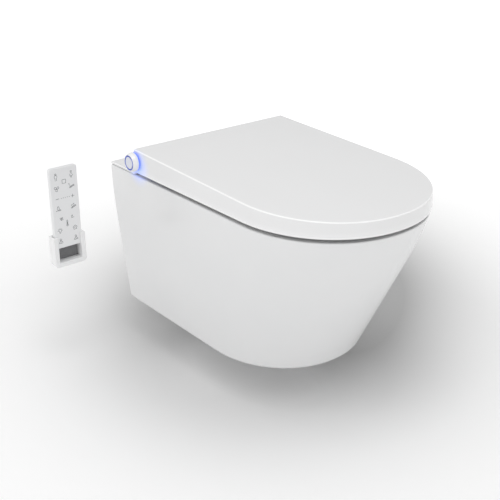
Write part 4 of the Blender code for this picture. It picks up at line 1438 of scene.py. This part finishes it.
# ------------------------------------------------------------------ remote control
@dataclass
class KeyMarks:
    """Printed key symbols on the handset: thin bars of ink along lines given in millimetres."""

    x: float
    top: float
    face: float = -0.0180
    line: float = 0.00072
    relief: float = 0.00006

    @staticmethod
    def arc(x: float, z: float, wide: float, high: float, start: float = 0.0, end: float = 360.0,
            count: int = 25) -> np.ndarray:
        """Part of an ellipse round a centre.

        Args:
            x: the centre across.
            z: the centre upwards.
            wide: radius across.
            high: radius upwards.
            start: first angle in degrees.
            end: last angle.
            count: how many points.

        Returns:
            The line.
        """
        a = np.radians(np.linspace(start, end, count))
        return np.stack([x + wide * np.cos(a), z + high * np.sin(a)], 1)

    @staticmethod
    def turned(lines: Iterable[np.ndarray], angle: float = 0.0, size: float = 1.0) -> Lines:
        """Lines turned about their own origin and scaled.

        Args:
            lines: the lines.
            angle: degrees, anticlockwise.
            size: the scale.

        Returns:
            New lines.
        """
        c, s = math.cos(math.radians(angle)), math.sin(math.radians(angle))
        return [np.asarray(line, float) @ np.array([[c, s], [-s, c]]) * size for line in lines]

    @staticmethod
    def lowered(lines: Iterable[np.ndarray], down: float) -> Lines:
        """Lines moved down."""
        return [line - (0, down) for line in lines]

    def frame(self, half: float, high: float, radius: float) -> np.ndarray:
        """Closed rounded rectangle round the origin.

        Args:
            half: half its width.
            high: half its height.
            radius: radius of its corners.

        Returns:
            The line, whose last point is its first.
        """
        loop = box_loop(-half, half, -high, high, radius, 4)
        return np.concatenate([loop, loop[:1]])

    def fan(self) -> Lines:
        """Three petals: the radius is the root of the cosine of twice the angle from a petal's middle.

        Returns:
            The three lines.
        """
        t = np.radians(np.linspace(-44.9, 44.9, 21))
        reach = 0.8 + 4.6 * np.sqrt(np.cos(2 * t))
        petal = np.stack([reach * np.cos(t), reach * np.sin(t)], 1)
        petal = np.concatenate([petal, petal[:1]])
        return [self.turned([petal], a)[0] for a in (30, 150, 270)]

    def drop(self) -> np.ndarray:
        """Water drop: a circle whose upper part is drawn up to a point."""
        t = np.radians(np.linspace(0, 360, 29))
        return np.stack([2.7 * np.sin(t) * np.sin(t / 2) ** 0.9, 3.9 * np.cos(t)], 1)

    def nozzle(self) -> Lines:
        """Slanted wand with cross marks."""
        marks = [np.array([(u, -1.1), (u + 0.7, 1.1)]) for u in (-3.0, -1.2, 0.8, 2.8)]
        return self.turned([self.frame(5.3, 1.15, 0.5), *marks], 22)

    def person(self, dress: bool) -> Lines:
        """Standing figure: a ring for the head, and an outline.

        Args:
            dress: whether the outline flares to a hem, with two legs below it.

        Returns:
            The lines.
        """
        head = self.arc(0, 5.5, 1.55, 1.55)
        if dress:
            gown = [(0, 3.7), (3.0, -2.0), (2.6, -3.2), (0, -3.8), (-2.6, -3.2), (-3.0, -2.0), (0, 3.7)]
            return [head, np.array(gown), *(np.array([(u, -4.0), (u, -7.0)]) for u in (-0.8, 0.8))]
        body = [(-1.3, -7.2), (-1.5, -1.6), (-2.7, -0.6), (-2.7, 2.4), (-1.3, 3.5), (1.3, 3.5),
                (2.7, 2.4), (2.7, -0.6), (1.5, -1.6), (1.3, -7.2)]
        return [head, np.array(body)]

    def bust(self, number: int) -> Lines:
        """Head and shoulders, with one or two small strokes for the stored user.

        Args:
            number: how many strokes.

        Returns:
            The lines.
        """
        places = np.linspace(-0.7, 0.7, number) * (number > 1)
        shoulders = np.concatenate([self.arc(0, -4.6, 3.9, 4.6, 0, 180), [(3.9, -4.6)]])
        return [self.arc(0, 2.7, 1.8, 1.9), shoulders, *(np.array([(u, -3.6), (u, -1.6)]) for u in places)]

    def dot(self, x: float, z: float, radius: float = 0.35) -> np.ndarray:
        """Small dot: a ring whose line fills it."""
        return self.arc(x, z, radius, radius, count=9)

    def symbols(self) -> list[tuple[float, float, Lines]]:
        """Every symbol: across from the middle, down from the top, and its lines.

        Returns:
            The list of symbols.
        """
        rays = [np.array([(4.2 * c, 4.2 * s), (5.6 * c, 5.6 * s)]) + (0, 1.0)
                for c, s in ((math.cos(a), math.sin(a)) for a in np.radians((0, 45, 90, 135, 180)))]
        t = np.radians(np.linspace(0, 360, 61))
        ripple = 3.9 * (1 + 0.15 * np.cos(5 * (t - math.pi / 2)))
        flower = [np.stack([ripple * np.cos(t), ripple * np.sin(t)], 1),
                  self.arc(0, -0.4, 1.7, 1.2, 0, 180, 9)]
        glass = [self.arc(0, 1.0, 2.9, 2.9, -60, 240), [(-1.2, -3.0), (1.2, -3.0), (1.45, -1.51)]]
        bulb = [np.concatenate(glass), np.array([(-1.1, -4.3), (1.1, -4.3)])]
        gauge = [np.concatenate([self.arc(0, -4.4, 2.0, 2.0, 118, 422), self.arc(0, 5.2, 1.0, 1.0, 0, 180, 9),
                                 [(-0.94, -2.63)]]), np.array([(0, -4.4), (0, 2.6)]), self.dot(0, -4.4, 0.5)]
        spray = [self.dot(-5.8, 4.3, 0.6), self.dot(-4.8, 2.0), self.dot(-3.7, 0.0)]
        arrow = self.turned([np.array([(-3.6, 3.4), (3.0, 3.4)]),
                             np.array([(-2.5, 4.4), (-3.7, 3.4), (-2.5, 2.4)]),
                             np.array([(1.9, 4.4), (3.1, 3.4), (1.9, 2.4)])], 22)
        tray = [np.array([(-5.2, -3.6), (1.6, -3.6)]), self.arc(3.4, -3.2, 1.8, 1.0)]
        wand = self.lowered(self.nozzle(), 1.4)
        return [(-16.5, 17.3, self.person(False)), (16.2, 17.3, self.person(True)),
                (0.0, 28.5, [self.frame(3.8, 3.8, 0.9)]), (-16.6, 40.3, self.fan()),
                (16.0, 40.3, wand + spray),
                (-16.6, 61.2, [np.array([(-3.7, 0), (3.7, 0)])]),
                (16.0, 61.2, [np.array([(-3.6, 0), (3.6, 0)]), np.array([(0, -3.6), (0, 3.6)])]),
                (0.0, 61.2, [self.dot(u, 0) for u in np.linspace(-8.6, 8.6, 5)]),
                (-16.6, 81.3, [self.drop() + (0, 1.6), *tray]), (16.0, 82.2, wand + arrow),
                (-11.9, 102.8, self.turned(self.fan(), 0, 0.62) + [self.dot(3.2, -2.4)]),
                (11.2, 102.8, self.turned([self.drop()], 0, 0.72) + [self.dot(3.4, -2.4)]),
                (0.0, 114.1, gauge), (-16.8, 127.2, bulb + rays), (15.8, 127.2, flower),
                (-16.9, 148.1, self.bust(1)), (15.8, 148.1, self.bust(2))]

    def bar(self, line: np.ndarray) -> bpy.types.Object:
        """Ink along a line: at each point, four corners stand across the mean direction of its neighbours.

        Args:
            line: points in the plane of the front, in metres.

        Returns:
            The object.
        """
        closed = bool(np.allclose(line[0], line[-1]))
        p = line[:-1] if closed else line
        ahead = np.roll(p, -1, 0) - np.roll(p, 1, 0) if closed else np.gradient(p, axis=0)
        ahead /= np.maximum(np.linalg.norm(ahead, axis=1, keepdims=True), 1e-12)
        side = np.stack([-ahead[:, 1], ahead[:, 0]], 1) * self.line / 2
        corners = [lift(p + side * k, Axis.Y, self.face + h) for k, h in
                   ((1, self.relief), (1, -self.relief), (-1, -self.relief), (-1, self.relief))]
        return skin("bar", np.stack(corners, 1), loop=closed, caps=not closed)

    def build(self) -> None:
        """Print every symbol as one piece."""
        bars = [self.bar(line * MM + (self.x + across * MM, self.top - down * MM))
                for across, down, lines in self.symbols() for line in lines]
        mount(fuse("key_symbols", bars), Body.HANDSET, INK)


@dataclass
class Remote:
    """Slim handset with printed keys in a U-shaped wall dock."""

    x: float = -0.300
    bottom: float = -0.060
    length: float = 0.1632
    half: float = 0.029
    dock_half: float = 0.034
    dock_height: float = 0.0625
    dock_drop: float = 0.038

    def slab(self, name: str, half: float, z0: float, z1: float, radius: float | Sequence[float], y0: float,
             y1: float, edge: float, back_edge: float | None = None) -> bpy.types.Object:
        """Rounded plate centred on the handset's line.

        Args:
            name: the object's name.
            half: half width.
            z0: its bottom.
            z1: its top.
            radius: one radius, or one for each corner.
            y0: its front face.
            y1: its back face.
            edge: radius of its edges.
            back_edge: another radius at the back face.

        Returns:
            The object.
        """
        loop = box_loop(self.x - half, self.x + half, z0, z1, radius, 8)
        return plate(name, loop, Axis.Y, y0, y1, edge, back_edge)

    def handset(self) -> None:
        """Front and back shells, and the sliding battery door."""
        low, high = self.bottom, self.bottom + self.length
        mount(self.slab("handset_front", self.half, low, high, 0.0042, -0.0180, -0.0153, 0.0010, 0.0002),
              Body.HANDSET, SATIN, "remote_front")
        mount(self.slab("handset_back", self.half, low, high, 0.0042, -0.0150, -0.0076, 0.0002, 0.0022),
              Body.HANDSET, SATIN)
        rim = 0.0022
        half = self.half - rim
        frame_loop = box_loop(self.x - half, self.x + half, low + rim, high - rim, 0.002)
        hole = box_loop(self.x - 0.0168, self.x + 0.0168, low + 0.020, low + 0.100, 0.0015)
        pan_back = plate("handset_back_panel", frame_loop, Axis.Y, -0.0078, -0.0060, 0.0001, 0.0003)
        cut(pan_back, [skin("door_gap", np.stack([lift(hole, Axis.Y, -0.0077), lift(hole, Axis.Y, -0.005)]))])
        mount(pan_back, Body.HANDSET, SATIN, "remote_back", "remote_board", "battery_cell")
        door = self.slab("battery_hatch", 0.0164, low + 0.0305, low + 0.0997, 0.0014, -0.0075, -0.0062,
                         0.0002)
        ridges = [self.slab("ridge", 0.008, low + z, low + z + 0.0009, 0.0004, -0.0064, -0.0060, 0.0001)
                  for z in np.arange(0.034, 0.043, 0.002)]
        mount(fuse("battery_door_slide", [door, *ridges]), Body.BATTERY, SATIN, "battery_door")

    def dock(self) -> None:
        """Front band, side walls, back plate and the brushed pad between the arms."""
        x, outer = self.x, self.dock_half
        low = self.bottom - self.dock_drop
        high = low + self.dock_height

        def u_loop(inner: float, floor: float, ledge: bool = False) -> np.ndarray:
            """U outline: rounded outside corners and small inside ones.

            Args:
                inner: half the width of the gap.
                floor: bottom of the gap.
                ledge: whether the gap widens above a ledge that the handset stands on.

            Returns:
                The closed loop.
            """
            left, right = [(x - inner, high), (x - inner, floor)], [(x + inner, floor), (x + inner, high)]
            if ledge:
                wide, step = self.half + 0.0005, self.bottom - 0.0003
                left = [(x - wide, high), (x - wide, step), (x - inner, step), (x - inner, floor)]
                right = [(q[0] * -1 + 2 * x, q[1]) for q in left[::-1]]
            radii = [0.0068, 0.0068] + [0.0018] * 2 + [0.0008] * (len(left + right) - 2) + [0.0018] * 2
            return rounded([(x - outer, low), (x + outer, low), (x + outer, high), *right[::-1], *left[::-1],
                            (x - outer, high)], radii[: 4 + len(left + right)], 8)

        band = plate("dock_band", u_loop(0.0245, low + 0.009), Axis.Y, -0.0225, -0.0187, 0.0009, 0.0001)
        walls = plate("dock_walls", u_loop(0.0245, low + 0.009, True), Axis.Y, -0.0187, -0.0056, 0.0001)
        back = self.slab("dock_back", outer, low, high, (0.0068, 0.0068, 0.0012, 0.0012),
                         -0.0056, -0.0003, 0.0001, 0.0004)
        cut(back, [self.slab("well", 0.0245, low + 0.009, high + 0.01, 0.0008, -0.0070, -0.0040, 0.0001)])
        mount(fuse("wall_dock", [band, walls, back]), Body.ROOT, WHITE, "dock_frame")
        inlay = self.slab("dock_inlay", 0.0240, low + 0.0095, high - 0.0005, 0.0008, -0.0053, -0.0043, 0.0002)
        mount(inlay, Body.ROOT, PAD, "dock_pad")

    def build(self) -> None:
        """Handset, printed keys and dock."""
        self.handset()
        KeyMarks(self.x, self.bottom + self.length).build()
        self.dock()


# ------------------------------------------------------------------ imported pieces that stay
@dataclass
class Workings:
    """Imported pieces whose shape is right: each gets its finish."""

    finishes: dict[str, Finish] = field(default_factory=lambda: {
        "front_fascia": WHITE, "dryer_flap": WHITE, "night_light_lens": WHITE_RUBBER, "base_tray": GREY,
        "waste_seal": BLACK_RUBBER, "flush_seal": BLACK_RUBBER, "fixing_block_left": GREY,
        "fixing_block_right": GREY, "fixing_bolt_left": STEEL, "fixing_bolt_right": STEEL,
        "power_board": BOARD, "control_board": BOARD, "water_heater": COPPER, "inlet_valve": DARK,
        "hose_fitting": STEEL, "cable_gland": DARK, "water_pump": GREY, "dryer_housing": GREY,
        "dryer_motor": STEEL, "dryer_impeller": DARK, "dryer_heater": COPPER, "fan_frame": DARK,
        "deodoriser_fan": GREY, "filter_cartridge": DARK, "nozzle_wand": SATIN, "nozzle_tip": STEEL,
        "nozzle_guide": GREY, "nozzle_motor": STEEL, "nozzle_pinion": WHITE_RUBBER, "hinge_pin_left": STEEL,
        "hinge_pin_right": STEEL, "lid_damper": DARK, "seat_damper": DARK, "knob_encoder": DARK})

    def build(self) -> None:
        """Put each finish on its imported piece."""
        for node, finish in self.finishes.items():
            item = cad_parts[node]
            item.data.materials.clear()
            item.data.materials.append(finish.material())
            log.info("%s: packed shape, %s", node, finish.name)


# ------------------------------------------------------------------ studio
@dataclass
class Studio:
    """Camera, pale floor and soft light."""

    camera_place: Point = (-1.07830, -1.53534, 0.67693)
    azimuth: float = -39.15
    elevation: float = 24.08
    lens: float = 66.90
    floor_z: float = -0.320
    floor_reach: float = 16.0
    floor_rise: float = 3.2
    flat_reach: float = 10.0                       # the floor is level as far as this
    painted_shadow_bells: tuple[tuple[Any, ...], ...] = (         # painted shadow: darkening, centre, radii and turn of each bell
        (-0.99, (-0.031, -0.235), (0.124, 0.197), 0.142), (1.25, (0.232, -0.034), (0.46, 0.328), 0.696))
    dark: float = 0.45                             # least share of light on the floor
    sweep: tuple[float, float] = (0.7, 2.6)        # the floor brightens between these distances
    fade: tuple[float, float] = (6.5, 9.5)         # and its own light ends between these
    sky: tuple[float, float, float] = (0.38, 0.72, 0.28)   # everywhere, more overhead, more from the left

    def camera(self) -> None:
        """Camera that looks down at the pan's front left quarter."""
        data = bpy.data.cameras.new("camera")
        data.lens, data.sensor_width, data.clip_end = self.lens, 36.0, 60.0
        item = bpy.data.objects.new("camera", data)
        item.location = self.camera_place
        item.rotation_euler = (math.radians(90.0 - self.elevation), 0.0, math.radians(self.azimuth))
        bpy.context.scene.collection.objects.link(item)
        bpy.context.scene.camera = item

    def shadow(self, shade: Shade) -> Value:
        """Painted shadow on the floor, as a share of light: 1 less a bell e^(-u^2 - v^2) for each pool.

        Args:
            shade: the floor's tree.

        Returns:
            The share.
        """
        x, y, _ = shade.axes()
        total = Value(shade, shade.node("ShaderNodeValue").outputs[0]) + 1.0
        for depth, (cx, cy), (ax, ay), turn in self.painted_shadow_bells:
            c, s = math.cos(turn), math.sin(turn)
            u = (c * (x - cx) + s * (y - cy)) / ax
            v = (c * (y - cy) - s * (x - cx)) / ay
            total = total - depth * shade.math("EXPONENT", 0.0 - (u * u + v * v))
        return total.clamp(self.dark, 1.0)

    def floor(self) -> None:
        """Pale floor with a painted shadow, bright enough to run out into the background, its far rim curved
        up.
        """
        flat, reach = self.flat_reach, self.floor_reach
        radii = np.array([1e-9, 0.5, 1.0, 2.0, 4.0, 7.0, flat, 11.5, 13.0, 14.5, reach])
        rise = self.floor_rise * (np.maximum(radii - flat, 0.0) / (reach - flat)) ** 2
        rings = [lift(circle(r, 64)[::-1], Axis.Z, self.floor_z + h) for r, h in zip(radii, rise)]
        item = skin("studio_floor", np.stack(rings), caps=False)
        shade = Shade("studio_floor")
        cloud = shade.noise(0.8, 2.0)
        away = shade.distance((-0.15, -0.35, self.floor_z))
        far = away.ramp(*self.sweep) * (1 - away.ramp(*self.fade))
        # painted shadow of the pan, laid on the floor's colour and on its own light
        lit = self.shadow(shade)
        plain = shade.mix((0.95, 0.95, 0.95), (0.96, 0.96, 0.96), cloud)
        glow = shade.mix((0.08, 0.08, 0.08), (0.45, 0.45, 0.45), far)
        shade.set(Base_Color=shade.mix(BLACK, plain, lit), Roughness=0.9 + 0.05 * cloud,
                  Specular_IOR_Level=0.0, Emission_Strength=1.0,
                  Emission_Color=shade.mix(BLACK, glow, lit))
        item.data.materials.append(shade.material)

    def area(self, name: str, place: Point, aim: Point, size: float, power: float) -> None:
        """Square soft box that points at a place.

        Args:
            name: the light's name.
            place: where it hangs.
            aim: where it points.
            size: its side.
            power: watts.
        """
        data = bpy.data.lights.new(name, "AREA")
        data.shape, data.size, data.energy = "SQUARE", size, power
        item = bpy.data.objects.new(name, data)
        item.location = place
        item.rotation_euler = (Vector(aim) - Vector(place)).to_track_quat("-Z", "Y").to_euler()
        bpy.context.scene.collection.objects.link(item)

    def light(self) -> None:
        """White surroundings, brighter overhead and from the left, and one large soft box above."""
        world = bpy.data.worlds.new("surroundings")
        world.use_nodes = True
        sky = Shade("surroundings", world)
        x, _, z = (Value(sky, out) for out in
                   sky.node("ShaderNodeSeparateXYZ", None,
                            {0: sky.node("ShaderNodeTexCoord").outputs["Generated"]}).outputs)
        level, above, left = self.sky
        back = world.node_tree.nodes["Background"]
        sky.feed(back.inputs["Color"], (1.0, 1.0, 1.0))
        sky.feed(back.inputs["Strength"], level + above * z.clamp() ** 1.5 - left * x)
        bpy.context.scene.world = world
        self.area("overhead", (-0.45, -0.75, 2.3), (0.0, -0.3, 0.0), 0.9, 9.0)
        bpy.context.scene.view_settings.view_transform = "Standard"

    def build(self) -> None:
        """Set the scene."""
        self.camera()
        self.floor()
        self.light()


def main() -> None:
    """Build the studio and every sub-assembly in order."""
    logging.basicConfig(level=logging.INFO, format="%(name)s: %(message)s")
    Studio().build()
    for part in (Pan(), DeckUnit(), SideKnob(), Seat(), Lid(), Remote(), Workings()):
        log.info("building %s", type(part).__name__)
        part.build()


if __name__ == "__main__":
    main()
